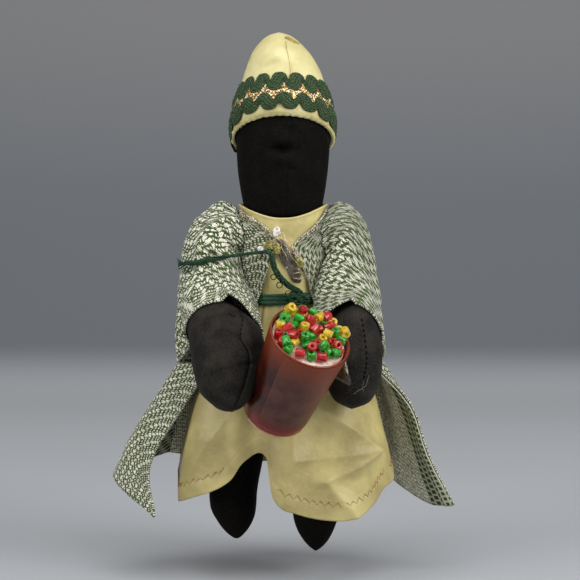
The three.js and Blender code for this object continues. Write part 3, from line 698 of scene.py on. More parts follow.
def lay_cloth(name, columns, rows, place, grain=1, closed=False, flip=False, middle=0.5):
    """A sheet of cloth: place(across, up) gives its points, and its own map counts its threads.

    The map counts in millimetres from a line at some share across, one way or the other.
    """
    bpy.ops.object.select_all(action="DESELECT")
    bpy.ops.mesh.primitive_grid_add(x_subdivisions=columns, y_subdivisions=rows, size=1, calc_uvs=True)
    piece = bpy.context.object
    piece.name = piece.data.name = name
    piece.data.uv_layers[0].name = "Threads"
    grid, spot = {}, {}
    for vertex in piece.data.vertices:
        i, j = round((vertex.co.x + 0.5) * columns), round((vertex.co.y + 0.5) * rows)
        grid[i, j] = Vector(place(i / columns, j / rows))
        spot[vertex.index] = (i, j)
    across, up = {}, {}
    for j in range(rows + 1):
        total = 0
        for i in range(columns + 1):
            total += (grid[i, j] - grid[max(i - 1, 0), j]).length
            across[i, j] = total
        centre = across[round(middle * columns), j]
        for i in range(columns + 1):
            across[i, j] -= centre
            before = up.get((i, j - 1), 0)
            up[i, j] = before + (grid[i, j] - grid[i, max(j - 1, 0)]).length
    counted = piece.data.uv_layers["Threads"].data
    for loop in piece.data.loops:
        key = spot[loop.vertex_index]
        counted[loop.index].uv = (across[key] * grain, up[key])
    for vertex in piece.data.vertices:
        vertex.co = grid[spot[vertex.index]] * mm
    steps = [join_doubles] if closed else []
    if flip:
        steps.append(bpy.ops.mesh.flip_normals)
    if steps:
        in_edit_mode(piece, *steps)
    bpy.ops.object.shade_smooth()
    return piece


def thicken(piece, thickness, offset=-1.0, lined=False):
    """Gives a sheet its thickness: inwards from its points, or half each way at offset 0."""
    worked(
        piece, "SOLIDIFY", thickness=thickness * mm, offset=offset,
        use_quality_normals=True, material_offset=1 if lined else 0,
    )


def gore_turn(rise):
    """How far the seams have turned, so that the front one runs to the right of the point."""
    return math.radians(10.5 + 9.5 * eased(rise, 46, 60))


def turned(across):
    """An angle from the front, for a share of the way round a closed piece from its back."""
    return (across * 2 - 1) * math.pi


def cap_rise(up):
    return lerp(1, cap_height, 1 - (1 - up) ** 1.15)


def leaned(point, rise):
    """The crown's point leans to the doll's right."""
    point.x -= 2.3 * eased(rise, 34, 62)
    return point


def cap_cloth(across, up):
    angle, rise = turned(across), cap_rise(up)
    radius = along(cap_radii, rise)
    quarter = math.pi / 2
    from_seam = (angle - gore_turn(rise) + quarter / 2) % quarter - quarter / 2
    off = abs(from_seam) * radius
    free = eased(rise, 22, 34) * (1 - eased(rise, 57, 62))
    puff = 0.55 * (1 - math.exp(-off / 3.4)) * free
    groove = -0.7 * hump(off, 0, 0.55) * eased(rise, 20, 26) * (1 - eased(rise, 54, 59))
    pull = 0.32 * rough((angle * 4, rise / 5, 0), 1, 2) * free * math.exp(-off / 6)
    soft = 0.5 * rough((angle * 1.3, rise / 14, 4), 1, 3) * free
    soft -= 1.5 * hump(angle, -0.24, 0.22) * hump(rise, 36.6 + 8 * (angle + 0.24), 3.4)
    soft += 0.5 * hump(angle, -0.22, 0.26) * hump(rise, 42.5, 3.4)
    return leaned(on_cap(radius + puff + groove + pull + soft, angle, rise), rise)


cap_crown = lay_cloth("cap_crown_of_sateen", 200, 110, cap_cloth, closed=True)
thicken(cap_crown, cap_wall)


def sateen(name, dull, bright, glint, stain):
    """Cotton sateen: long fine floats, soft creases, uneven dye and a few specks."""
    look = Look(name, {
        "Roughness": 0.46,
        "Specular IOR Level": 0.4,
        "Sheen Weight": 0.12,
        "Sheen Roughness": 0.35,
        "Sheen Tint": dye(255, 250, 220),
    })
    place = look.place()
    across, up = look.threads()
    yarns = look.lumps(look.point(across / 6, up / 0.35), 1, 2)
    floats = look.lumps(look.point(across / 0.5, up / 5), 1, 2)
    tone = look.lumps(place, 22, 3)
    creases = look.lumps(place, 5, 3)
    specks = look.lumps(place, 2.3, 4, 0.7)
    colour = look.mix(look.rise(tone, 0.35, 0.7), dull, bright)
    colour = look.mix(look.rise(yarns * 0.6 + floats * 0.4, 0.52, 0.72) * 0.5, colour, glint)
    look.feed({
        "Base Color": look.mix(look.rise(specks, 0.74, 0.8) * 0.45, colour, stain),
        "Roughness": look.rise(yarns, 0.3, 0.8) * 0.2 + 0.38,
        "Normal": look.relief(yarns * 0.5 + floats * 0.5, 0.06, look.relief(creases, 0.5)),
    })
    return look


cap_dyes = dye(192, 181, 124), dye(211, 202, 147), dye(224, 217, 168), dye(150, 132, 78)
sateen_look = sateen("cap_sateen", *cap_dyes)
sateen_look.onto(cap_crown)
belongs(cap_crown, "head", "cap_crown")

# Cap edge. The sateen is rolled over a soft cord and caught down inside with stitches, so it
# shows as a plump edge with slanting creases.
edge_radius, edge_centre, edge_rise = 1.25, 28.9, 0.5
creases_round_edge = 46


def cap_edge_cloth(across, up):
    angle, turn = turned(across), up * full_turn
    slant = 0.16 * math.sin(angle * creases_round_edge + 2.2 * math.sin(turn))
    slant += 0.2 * rough((angle * 6, turn, 2), 1, 5)
    radius = edge_radius + slant
    return on_cap(edge_centre + radius * math.cos(turn), angle, edge_rise + radius * math.sin(turn))


cap_edge = lay_cloth("cap_rolled_edge", 260, 14, cap_edge_cloth, closed=True)
sateen_look.onto(cap_edge)
belongs(cap_edge, "head", "cap_brim_binding")

# Cap seams. A sunk line of thread down each gore seam, a little tuck of the seam allowance near
# the point, and one loose white stitch on the front of the edge.
gore_lines = []
for quarter_turn in range(4):
    line = []
    for i in range(45):
        up = 0.26 + 0.56 * i / 44
        angle = quarter_turn * math.pi / 2 + gore_turn(cap_rise(up))
        line.append(nearest_on(cap_crown, cap_cloth((angle / math.pi + 1) / 2 % 1, up), -0.02))
    gore_lines.append(line)
gore_seams = run_threads("cap_gore_seams", gore_lines, 0.42)
thread_dyes = (112, 90, 48), (168, 146, 96)
plain_look("sewing_thread", {"Roughness": 0.6}, 0.8, 2, *thread_dyes, rise=(0.35, 0.65)).onto(gore_seams)


def tuck_cloth(across, up):
    angle = math.radians(lerp(19, 54, across))
    rise = 56.6 - 3.4 * across + (up - 0.5) * 4.2 * math.sin(math.pi * clamp(across * 0.94 + 0.04)) ** 0.8
    return leaned(on_cap(along(cap_radii, rise) + 0.5 + 0.5 * math.sin(math.pi * up), angle, rise), rise)


cap_tuck = lay_cloth("cap_seam_tuck", 24, 8, tuck_cloth)
thicken(cap_tuck, 0.5)
tuck_dyes = (118, 98, 40), (176, 158, 90)
plain_look("tan_seam_allowance", {"Roughness": 0.6}, 1.4, 3, *tuck_dyes, bump=0.3).onto(cap_tuck)
# The loose stitch and its short tail, each as steps of reach, degrees from the front and rise
loose_stitch = (
    ((0.9, 8.6, 2.2), (1.4, 9.2, 1), (1.2, 10.2, -0.3), (0.6, 11, -1.4)),
    ((1.4, 9.2, 1), (1.5, 7.8, 0.2)),
)
edge_stitch = run_threads("cap_edge_stitch", [
    [on_cap(edge_centre + reach, math.radians(degrees), rise) for reach, degrees, rise in line]
    for line in loose_stitch
], 0.3)
plain_look("white_thread", {"Roughness": 0.6}, 0.7, 2, (196, 190, 170), (246, 242, 226)).onto(edge_stitch)
for piece in (gore_seams, cap_tuck, edge_stitch):
    belongs(piece, "head")

# Cap trim. Two thick wavy braids of dark green yarn are glued on, each plaited from ribs that
# follow its waves. Between them lies a flat braid of gold metal thread.
upper_braid_rise, lower_braid_rise = 25, 12.1
gold_rise, gold_width = 18.75, 11.5
braid_waves = 16
first_crest = math.radians(-1.2)


def sag(angle):
    """How far the trim runs down towards the edge at the sides, most at the doll's right."""
    return 3.5 * eased(abs(angle), 0.45, 1.35) + 2 * eased(-angle, 1, 1.8) * (1 - eased(-angle, 2, 2.8))


def wavy_braid(rise, sway, width, lean, seed, slip):
    """A braid that keeps its width round its bends, so that its lobes are round outside."""
    pitch = braid_waves / cap_radii[0][1]

    def cloth(across, up):
        angle = turned(across)
        phase = (angle - first_crest) * braid_waves + 0.25 * rough((angle * 3, seed, 2), 1)
        crest = math.cos(phase)
        slope = -sway * pitch * math.sin(phase)
        straight = 1 / math.hypot(1, slope)
        off = (up - 0.5) * width * (1 + 0.06 * rough((angle * 9, seed, 0), 1) + 0.17 * slip * sag(angle))
        outer = (1 + crest * (1 if off > 0 else -1)) / 2
        height = rise + sway * crest + off * lerp(straight, 1, 0.45) + 0.3 * rough((angle * 3, seed, 0), 1)
        height -= slip * sag(angle)
        aside = -slope * straight * off * lerp(0.3, 0.85, outer) - lean * off
        ribs = 0.42 * abs(math.sin(up * math.pi * 4)) - 0.15
        crown = 1.1 * math.sin(math.pi * clamp(up, 0.02, 0.98)) ** 0.4
        plait = 0.16 * math.sin(phase * 9 + up * 12) + 0.22 * rough((angle * 40, up * 6, seed), 1)
        radius = along(cap_radii, height)
        return on_cap(radius + 0.6 + crown + ribs + plait, angle + aside / radius, height)
    return cloth


braid_look = Look("dark_green_braid", {
    "Roughness": 0.8, "Sheen Weight": 0.06, "Sheen Tint": dye(150, 190, 140),
})
braid_across, braid_up = braid_look.threads()
braid_place = braid_look.place()
braid_flecks = braid_look.lumps(braid_place, 0.5, 3, 0.8)
braid_hairs = braid_look.lumps(braid_look.point(braid_across / 1.3, braid_up / 0.4), 1, 3, 0.7)
# Painted shade and highlight: the braid is dark in the grooves between its ribs and lighter on them.
braid_rib = abs((braid_up * (math.pi / 1.75)).sine())
braid_colour = braid_look.mix(
    braid_look.rise(braid_rib * 0.55 + braid_hairs * 0.8, 0.5, 0.95), dye(0, 10, 0), dye(38, 72, 30)
)
# Pale flecks where small lumps rise: painted highlights on the fibres.
braid_fleck_highlights = braid_look.rise(braid_flecks, 0.56, 0.66) * 0.85
braid_look.feed({
    "Base Color": braid_look.mix(braid_fleck_highlights, braid_colour, dye(136, 150, 98)),
    "Normal": braid_look.relief(braid_rib * 0.5 + braid_hairs * 0.5 + braid_flecks * 0.3, 0.85),
})
for name, node, rise, sway, width, lean, seed, slip in (
    ("cap_upper_wavy_braid", "cap_upper_rickrack", upper_braid_rise, 2.6, 7.6, 0.35, 1, 0.4),
    ("cap_lower_wavy_braid", "cap_lower_rickrack", lower_braid_rise, 2.2, 7.3, -0.35, 5, 1),
):
    braid = lay_cloth(name, 640, 24, wavy_braid(rise, sway, width, lean, seed, slip), closed=True)
    thicken(braid, 0.5)
    braid_look.onto(braid)
    belongs(braid, "head", node)


def gold_cloth(across, up):
    angle = turned(across)
    height = gold_rise + (up - 0.5) * gold_width - 0.5 * sag(angle)
    bead = 0.28 * rough((angle * 40, up * 11, 0), 1, 6) + 0.22 * math.sin(angle * 150) * math.sin(up * 30)
    return on_cap(along(cap_radii, height) + 1.0 + bead, angle, height)


gold_braid = lay_cloth("cap_gold_braid_band", 520, 26, gold_cloth, closed=True)
thicken(gold_braid, 0.5)
gold_look = Look("gold_metal_thread", {"Roughness": 0.28})
gold_cell_size = 0.75
gold_inputs = {"Vector": gold_look.place(), "Scale": 1 / gold_cell_size}
gold_cells = gold_look.node("ShaderNodeTexVoronoi", {"feature": "F1"}, gold_inputs)
gold_pick = gold_look.parts(gold_look.node("ShaderNodeTexVoronoi", {"feature": "F1"}, gold_inputs, 1))[0]
gold_colour = gold_look.mix(gold_look.rise(gold_pick, 0.25, 0.6), dye(84, 54, 20), dye(214, 176, 104))
# The palest cells are painted glints of the metal thread.
gold_look.feed({
    "Base Color": gold_look.mix(gold_look.rise(gold_pick, 0.68, 0.9), gold_colour, dye(255, 246, 216)),
    "Metallic": gold_look.rise(gold_pick, 0.1, 0.3) * 0.8,
    "Normal": gold_look.relief(1 - gold_cells, 0.5),
})
gold_look.onto(gold_braid)
belongs(gold_braid, "head", "cap_gold_braid")

# Robe. Cream cotton sateen, cut as a close upper part with a faced neck and a flared skirt
# gathered into the waist. The skirt falls in one deep pleat in front and soft folds round it.
shoulder_height = 38
body_widths = [(-46, 23.78), (-29.9, 29), (0, 23), (22.8, 23.5), (38, 23.5), (48, 22.95), (58, 24.15)]
body_depths = [(-46, 17.22), (-29.9, 21), (0, 19.5), (22.8, 21.5), (38, 21.5), (48, 22.95), (58, 24.15)]
robe_thickness = 1.0
arm_hole_radius = 8.85


def on_body(angle, height, off):
    return Vector((
        (along(body_widths, height) + off) * math.sin(angle),
        -(along(body_depths, height) + off) * math.cos(angle),
        height,
    ))


def bodice_cloth(across, up):
    angle = turned(across)
    top = lerp(55.5, 47.6, max(math.cos(angle), 0) ** 2)
    height = lerp(0.2, top, up)
    roll = 0.5 * hump((up - 1) * top, 0, 1.3)
    pull = 0.5 * rough((angle * 3, height / 6, 0), 1, 8) + 0.35 * rough((angle * 8, height / 12, 3), 1, 9)
    side = 1 - eased(abs(abs(math.degrees(angle)) - 90), 18, 40)
    return on_body(angle, height, 1.55 + roll + pull * (1 - side) * 0.8)


bodice = lay_cloth("robe_upper_part", 180, 80, bodice_cloth, closed=True)
thicken(bodice, robe_thickness)


def cut_arm_holes(piece, half_length):
    """Cuts the round arm holes through both sides of a piece."""
    bpy.ops.object.select_all(action="DESELECT")
    bpy.ops.mesh.primitive_cylinder_add(
        vertices=40, radius=arm_hole_radius * mm, depth=2 * half_length * mm,
        location=(0, 0, shoulder_height * mm), rotation=(0, math.pi / 2, 0),
    )
    drum = bpy.context.object
    worked(piece, "BOOLEAN", operation="DIFFERENCE", solver="EXACT", object=drum)
    bpy.data.objects.remove(drum)


cut_arm_holes(bodice, 40)
# The robe takes the cap's sateen with darker dyes, the skirt darker than the upper part: painted shade, for
# the light falling off down the robe.
skirt_shaded_sateen_look = sateen("sateen_painted_darker_for_skirt", dye(160, 146, 94), dye(192, 178, 118), dye(206, 194, 138), dye(112, 88, 50))
bodice_shaded_dyes = dye(178, 164, 106), dye(210, 196, 132), dye(222, 210, 150), dye(122, 98, 56)
bodice_shaded_sateen_look = sateen("sateen_painted_darker_for_bodice", *bodice_shaded_dyes)
bodice_shaded_sateen_look.onto(bodice)
belongs(bodice, "trunk", "robe_bodice")

# The skirt's hem: degrees from the front, and how far below the waist
robe_hem = [
    (-180, 100), (-120, 101), (-75, 115), (-46, 109), (-31, 101), (-20, 89), (-8.6, 87),
    (-5.2, 109), (7, 118), (30, 123), (44, 120), (74, 107), (110, 101), (180, 100),
]
# How far the skirt has flared at a depth, from its waist to its full width and depth
robe_spread = [(0, 0), (20, 0.24), (48, 0.68), (80, 0.9), (106, 1), (126, 1)]
robe_half_widths, robe_half_depths = (23.35, 61), (19.85, 39)
pleat_angle, pleat_width, pleat_depth = -15, 9, 11
# Sharp folds of the front: two ends in degrees from the front and depth, width, and how far out
robe_folds = [
    ((14, 54), (60, 84), 4.5, 3.6),
    ((60, 84), (8, 88), 5, 3.0),
    ((22, 100), (58, 86), 4, 2.8),
    ((22, 100), (40, 122), 4, 3.2),
    ((8, 62), (2, 112), 4, 2.4),
    ((-30, 56), (-62, 108), 9, 2.6),
    ((-24, 92), (-50, 76), 6, 1.8),
    ((-38, 30), (-34, 96), 10, -2.2),
    ((44, 34), (80, 100), 9, 1.8),
]
mm_per_degree = 0.72


def off_fold(degrees, depth, fold):
    """How far a fold pushes the cloth out at a place."""
    start, end, width, reach = fold
    place, start, end = ((at * mm_per_degree, low, 0) for at, low in ((degrees, depth), start, end))
    return reach * math.exp(-((between(place, start, end) / width) ** 1.15))


def on_robe(angle, depth, off):
    """The robe's skirt, as the CAD has it: an angle from the front, a depth below the waist."""
    degrees = math.degrees(angle)
    spread = along(robe_spread, depth)
    ripple = 1.6 * math.cos(angle * 7 + 1) * spread
    pleat = pleat_depth * spread**2 * hump(degrees, pleat_angle, pleat_width)
    width = lerp(*robe_half_widths, spread) + ripple
    front = lerp(*robe_half_depths, spread) + ripple - pleat
    return Vector(((width + off) * math.sin(angle), -(front + off) * math.cos(angle), -depth))


def skirt_cloth(across, up):
    degrees = across * 360 - 180
    angle = math.radians(degrees)
    hem = along(robe_hem, degrees)
    depth = lerp(hem, 0.2, up)
    off = 1.1
    if abs(degrees) < 100:
        off += sum(off_fold(degrees, depth, fold) for fold in robe_folds)
    gathers = 0.45 * math.cos(angle * 34 + rough((angle * 4, 0, 0), 1) * 3) * (1 - eased(depth, 6, 34))
    soft = 1.1 * rough((angle * 3, depth / 30, 1), 1, 11) * eased(depth, 20, 60)
    turned_hem = 0.35 * eased(depth, hem - 9.5, hem - 8.5)
    return on_robe(angle, depth, off + gathers * 0.6 + soft + turned_hem)


skirt = lay_cloth("robe_skirt_of_sateen", 340, 140, skirt_cloth, closed=True)
thicken(skirt, robe_thickness)
skirt_shaded_sateen_look.onto(skirt)
belongs(skirt, "trunk", "robe_skirt")

# Hem stitching. One row of tan zigzag holds the turned-up hem. It is broken at the pleat and
# where the thread has worn away.
zigzag_rows, zigzag_width, zigzag_count, zigzag_height = [[]], 2.6, 84, 9.6
for number in range(zigzag_count * 2):
    across = (number + 0.5) / (zigzag_count * 2)
    degrees = across * 360 - 180
    if -22 < degrees < -4 or rough((number, 0, 0), 9.1, 2) > 0.42:
        if zigzag_rows[-1]:
            zigzag_rows.append([])
        continue
    hem = along(robe_hem, degrees)
    swing = zigzag_width / 2 * (1 if number % 2 else -1)
    above = zigzag_height + swing * (1 + 0.6 * rough((number, 0, 0), 3.3))
    zigzag_rows[-1].append(nearest_on(skirt, skirt_cloth(across, above / hem), 0.12))
hem_stitching = run_threads("robe_hem_zigzag", [row for row in zigzag_rows if len(row) > 1], 0.42)
hem_dyes = (130, 98, 52), (188, 160, 100)
plain_look("tan_hem_thread", {"Roughness": 0.6}, 0.9, 2, *hem_dyes, rise=(0.35, 0.65)).onto(hem_stitching)
belongs(hem_stitching, "trunk")

# Sash. A narrow band of dark green twisted cord, wound round the waist and knotted in front
# to the doll's left. The floss is tied in with it.
sash_bottom, sash_height = -1.4, 6.4


def sash_cloth(across, up):
    angle = turned(across)
    height = sash_bottom + up * sash_height + 0.5 * math.sin(angle * 4)
    rolls = 0.45 * abs(math.sin(up * math.pi * 3 + 0.6 * math.sin(angle * 5)))
    edge = 0.5 * math.sin(math.pi * up) ** 0.5
    return on_body(angle, height, 3.0 + rolls + edge + 0.2 * rough((angle * 20, up * 3, 0), 1, 12))


sash = lay_cloth("waist_sash_wound", 320, 20, sash_cloth, closed=True)
thicken(sash, 0.7)
sash_look = Look("dark_green_cord", {"Roughness": 0.5, "Sheen Weight": 0.03, "Coat Weight": 0.1})
sash_across, sash_up = sash_look.threads()
sash_twist = ((sash_across * 0.8 + sash_up * 1.6) * (full_turn / 1.6)).sine() * 0.5 + 0.5
sash_flecks = sash_look.lumps(sash_look.place(), 0.5, 3)
sash_shade = sash_look.rise(sash_twist * 0.6 + sash_flecks * 0.6, 0.35, 0.85)
sash_look.feed({
    "Base Color": sash_look.mix(sash_shade, dye(0, 30, 12), dye(10, 84, 42)),
    "Normal": sash_look.relief(sash_twist * 0.6 + sash_flecks * 0.4, 0.4),
})
sash_look.onto(sash)
knot_turn = math.radians(20)
knot_middle = on_body(knot_turn, 1.6, 8.1)
knot_line = []
for i in range(121):
    angle = i / 120 * full_turn * 3
    swing = Vector((
        4.0 * math.cos(angle) + 1.2 * math.cos(3.3 * angle),
        1.5 * math.sin(2 * angle + 0.4),
        2.2 * math.sin(angle * 1.33),
    ))
    knot_line.append(knot_middle + Matrix.Rotation(knot_turn, 3, "Z") @ swing)
knot = run_threads("sash_knot_tied", [knot_line], 1.5, 2)
floss_look.onto(knot)
for piece, node in ((sash, "waist_sash"), (knot, "sash_knot")):
    belongs(piece, "trunk", node)

# Coat. Thick woven cotton, white slub yarns over dark green, with short olive floats in rows.
# Its reverse is a fine grey-green tabby. It hangs open, is seamed at the sides, and its fronts
# and hem are turned in. The bell sleeves are sewn in at the shoulder.
weave_fixed = {"Roughness": 0.92, "Sheen Weight": 0.12, "Specular IOR Level": 0.25}
row_pitch, float_pitch = 3.3, 7.8
yarn_lean = math.radians(48)
slub_length, slub_breadth, yarn_pitch = 2.6, 0.95, 1.3


def weave_look(name, upright=False):
    """The outside of the weave. On the fronts its rows stand upright and are closer."""
    look = Look(name, weave_fixed)
    place = look.place()
    across, up = look.threads()
    if upright:
        across, up = up * 1.35, across * 1.35
    across = across + (look.lumps(place, 5, 3) - 0.5) * 4.4
    up = up + (look.lumps(look.place((1, 1, 1.4)), 6, 3) - 0.5) * 3.2
    rows = up / row_pitch
    row = rows.whole()
    brick = across / float_pitch + row * 0.5 + (row * 12.9).sine() * 0.14
    in_row = (rows.part() - 0.5) * row_pitch
    in_float = (brick.part() - 0.5) * float_pitch
    fibre = look.lumps(place, 0.5, 3, 0.7)
    worn = look.lumps(place, 13, 3)
    frayed = (fibre - 0.5) * 1.5
    olive = 1 - look.rise(abs(in_float) + frayed, 2.3, 2.9)
    olive = olive * (1 - look.rise(abs(in_row) + frayed * 0.5, 0.75, 1.1))
    in_slub = ((brick + 0.5).part() - 0.5) * float_pitch
    length = in_slub * math.cos(yarn_lean) + in_row * math.sin(yarn_lean)
    breadth = in_slub * math.sin(yarn_lean) - in_row * math.cos(yarn_lean)
    from_slub = (length / slub_length) ** 2 + (breadth / slub_breadth) ** 2
    from_slub = from_slub + frayed * 0.5 + (worn - 0.5) * 0.8
    slub = 1 - look.rise(from_slub, 0.7, 1.0)
    rim = look.rise(from_slub, 0.75, 1.0) * (1 - look.rise(from_slub, 1.35, 1.75))
    leaning = (across * math.sin(yarn_lean) - up * math.cos(yarn_lean)) / yarn_pitch
    yarn = 1 - abs(leaning.part() - 0.5) * 2
    gap = ((1 - look.rise(yarn + frayed * 0.2, 0.2, 0.5)) * (1 - slub)).most(rim)
    white = look.mix(look.rise(fibre, 0.36, 0.6), dye(150, 152, 124), dye(255, 254, 234))
    white = look.mix(look.rise(worn, 0.45, 0.7) * 0.35, white, dye(150, 150, 122))
    green = look.mix(fibre, dye(10, 18, 6), dye(62, 74, 42))
    floats = look.mix(look.rise(fibre, 0.35, 0.7), dye(26, 40, 10), dye(88, 108, 48))
    look.feed({
        "Base Color": look.mix(olive, look.mix(gap, white, green), floats),
        "Normal": look.relief(
            (yarn * 0.6 * (1 - gap) + slub * 0.55) * (1 - olive) + olive * 0.35 + fibre * 0.2, 0.75
        ),
    })
    return look


column_pitch, square_pitch = 3.9, 3.5
selvedge_width = 15.3


def reverse_look(name, selvedge=False):
    """The tabby inside of the weave. On the fronts dark squares run down it along the edge."""
    look = Look(name, weave_fixed)
    place = look.place()
    across, up = look.threads()
    tabby = {"Vector": look.point(across / 1.4, up / 1.1), "Scale": 1.0, "Randomness": 0.35}
    dots = look.node("ShaderNodeTexVoronoi", {"feature": "F1"}, tabby)
    ribs = (up * (full_turn / 2.3)).sine() * 0.5 + 0.5
    tone = look.lumps(place, 9, 3)
    colour = look.mix(look.rise(dots, 0.3, 0.66), dye(255, 253, 228), dye(86, 92, 62))
    colour = look.mix(look.rise(tone, 0.4, 0.75) * 0.4, colour, dye(128, 130, 100))
    colour = look.mix(look.rise(ribs, 0.7, 0.95) * 0.5, colour, dye(80, 80, 56))
    if selvedge:
        columns = across / column_pitch + 0.1
        column = 1 - look.rise(abs(columns.part() - 0.5), 0.3, 0.4)
        square = 1 - look.rise(abs((up / square_pitch + columns.whole() * 0.5).part() - 0.5), 0.28, 0.38)
        near = 1 - look.rise(across, selvedge_width - 0.7, selvedge_width + 0.7)
        pale = look.mix(tone, dye(150, 152, 128), dye(196, 198, 172))
        colour = look.mix(near * (1 - look.rise(dots, 0.5, 0.7) * 0.4), colour, pale)
        colour = look.mix(column * square * near, colour, look.mix(dots, dye(58, 78, 40), dye(26, 46, 20)))
    look.feed({"Base Color": colour, "Normal": look.relief(1 - dots, 0.4)})
    return look


coat_outside = weave_look("green_and_white_weave")
front_outside = weave_look("weave_with_upright_rows", upright=True)
coat_inside = reverse_look("weave_reverse")
front_inside = reverse_look("weave_reverse_with_selvedge", selvedge=True)
coat_thickness = 1.3
# The side seams' degrees from the front, and how far off the robe the fronts lie
seam_degrees = 97
over_robe = 3.4
# How far off the body the coat lies, at heights above the waist
coat_offsets = [(0, 5.3), (7, 5.3), (14, 3.4), (60, 3.4)]
upper_heights = (3, 12, 22, 30, 36, 41, 45, 49, 52.5)
fifths = (0, 0.2, 0.4, 0.6, 0.8, 1)
# The fronts' edges, as heights and degrees from the front, and the side seams from the hem up
right_edge = [(0, 31), (12, 23.5), (21, 17), (28, 11), (36, 9.5), (40, 15), (46, 34), (52.5, 68)]
left_edge = [(0, 38), (12, 33), (22, 22), (28, 14), (33, 12), (37.6, 25), (45.5, 50), (52.5, 70)]
right_seam = [(-68, 28, -93), (-64, 25, -74), (-58, 21, -50), (-46, 16, -28)]
left_seam = [(58, 34, -102), (60, 30, -76), (56, 24, -50), (46, 17, -28)]


def drape(rows):
    """A surface through rows of points, from the lowest row up."""
    @lru_cache(maxsize=None)
    def column(across):
        return tuple(tuple(on_line(row, across)) for row in rows)
    return lambda across, up: on_line(column(across), up)


def row_angles(edge):
    return [math.radians(lerp(seam_degrees, edge, share)) for share in fifths]


def front_rows(seam, low_rows, robe_edge, edges, sign):
    """A front's rows of points from the side seam to the edge: hanging free, then over the body."""
    rows = [[start, *row] for start, row in zip(seam, low_rows)]
    rows.append([on_robe(sign * angle, 14, over_robe) for angle in row_angles(robe_edge)])
    for height in upper_heights:
        off = along(coat_offsets, height)
        rows.append([on_body(sign * angle, height, off) for angle in row_angles(along(edges, height))])
    return rows


right_rows = front_rows(right_seam, [
    [(-88, 16, -98), (-97, -4, -103), (-76, -34, -120)],
    [(-80, 14, -78), (-88, -2, -83), (-76, -24, -94)],
    [(-68, 12, -54), (-72, 0, -58), (-59, -16, -64)],
    [(-54, 9, -32), (-56, -4, -35), (-42, -20, -38)],
], 46, right_edge, -1)
left_rows = front_rows(left_seam, [
    [(70, 25, -112), (86, 16, -122), (101, 7, -121)],
    [(69, 21, -82), (78, 12, -88), (86, 5, -92)],
    [(62, 16, -54), (69, 8, -57), (74, 2, -60)],
    [(52, 9, -31), (54, -1, -34), (50, -11, -35)],
], 52, left_edge, 1)
back_angles = [math.radians(lerp(seam_degrees, 360 - seam_degrees, step / 8)) for step in range(9)]
back_rows = [
    [left_seam[0], (40, 45, -104), (0, 49, -100), (-42, 43, -98), right_seam[0]],
    [left_seam[1], (38, 42, -76), (0, 46, -76), (-38, 41, -76), right_seam[1]],
    [left_seam[2], (34, 38, -50), (0, 41, -50), (-34, 38, -50), right_seam[2]],
    [left_seam[3], (26, 32, -26), (0, 35, -26), (-26, 32, -26), right_seam[3]],
    [on_robe(angle, 14, over_robe) for angle in back_angles],
]
for height in upper_heights:
    back_rows.append([on_body(angle, height, along(coat_offsets, height)) for angle in back_angles])


def hung(surface, seed, folds, curled=0):
    """The draped surface with the soft folds and the uneven hem of real cloth."""
    def cloth(across, up):
        point = surface(across, up)
        low = 1 - eased(up, 0.25, 0.6)
        side = surface(min(across + 0.02, 1), up) - surface(max(across - 0.02, 0), up)
        rising = surface(across, min(up + 0.02, 1)) - surface(across, max(up - 0.02, 0))
        out = side.cross(rising).normalized()
        push = rough((across * 3, up * 2.4, 0), 1, seed) * 1.3 * low
        push += folds * math.sin(across * math.pi * 3 + up * 2 + seed) * low * math.sin(math.pi * across)
        push += 0.35 * rough((point.x / 5, point.z / 7, point.y / 5), 1, seed + 1)
        curl = (eased(across, 0.72, 1) * (1 - eased(up, 0, 0.12))) ** 2 * curled
        return point + out * push + Vector((4, -3, -0.6)) * curl
    return cloth


coat_panels = []
for name, node, rows, columns, seed, folds, curled, grain, flip, middle in (
    ("coat_right_front_panel", "coat_right_front", right_rows, 90, 21, 1.4, 1, 1, False, 1.0),
    ("coat_left_front_panel", "coat_left_front", left_rows, 90, 24, 1.2, 0, -1, True, 1.0),
    ("coat_back_panel", "coat_back", back_rows, 190, 27, 1.6, 0, 1, False, 0.5),
):
    surface = hung(drape(rows), seed, folds, curled)
    panel = lay_cloth(name, columns, 170, surface, grain=grain, flip=flip, middle=middle)
    outside, inside = (coat_outside, coat_inside) if middle < 1 else (front_outside, front_inside)
    panel.data.materials.append(outside.material)
    panel.data.materials.append(inside.material)
    thicken(panel, coat_thickness, 0, lined=True)
    cut_arm_holes(panel, 60)
    belongs(panel, "trunk", node)
    coat_panels.append(panel)

# Frayed yarns along both edges at the neck: the first height, the run up the edge, and how many
frays = []
for panel, edge, sign, low, run, count in (
    (coat_panels[0], right_edge, -1, 34, 18, 34), (coat_panels[1], left_edge, 1, 24, 22, 20),
):
    for i in range(count):
        height = low + run * (i / count)
        angle = sign * math.radians(along(edge, height) + 1 + 5 * abs(rough((i, 0, 0), 0.9, 70)))
        start = on_body(angle, height, along(coat_offsets, height) + 1)
        reach = Vector((rough((i, 1, 0), 0.7, 71) * 5, 0, rough((i, 2, 0), 0.7, 72) * 5 - 1.5))
        bend = Vector((rough((i, 3, 0), 0.7, 73), 0, rough((i, 4, 0), 0.7, 74))) * 3
        points = [start + reach * share + bend * math.sin(math.pi * share) for share in fifths]
        frays.append([nearest_on(panel, point, 0.3 + 0.5 * (n % 2)) for n, point in enumerate(points)])
fray_threads = run_threads("frayed_threads_of_fronts", frays, 0.36)
fray_dyes = (150, 122, 84), (226, 214, 184)
fray_look = plain_look("tan_frayed_threads", {"Roughness": 0.8}, 3.5, 3, *fray_dyes, rise=(0.4, 0.6))
fray_look.onto(fray_threads)
belongs(fray_threads, "trunk")

# Coat sleeves. Wide bells, gathered into the arm holes and cut on a slant at the wrist, so that
# the front edge lies over the mitten. Round the shoulder each one shows its gathers.


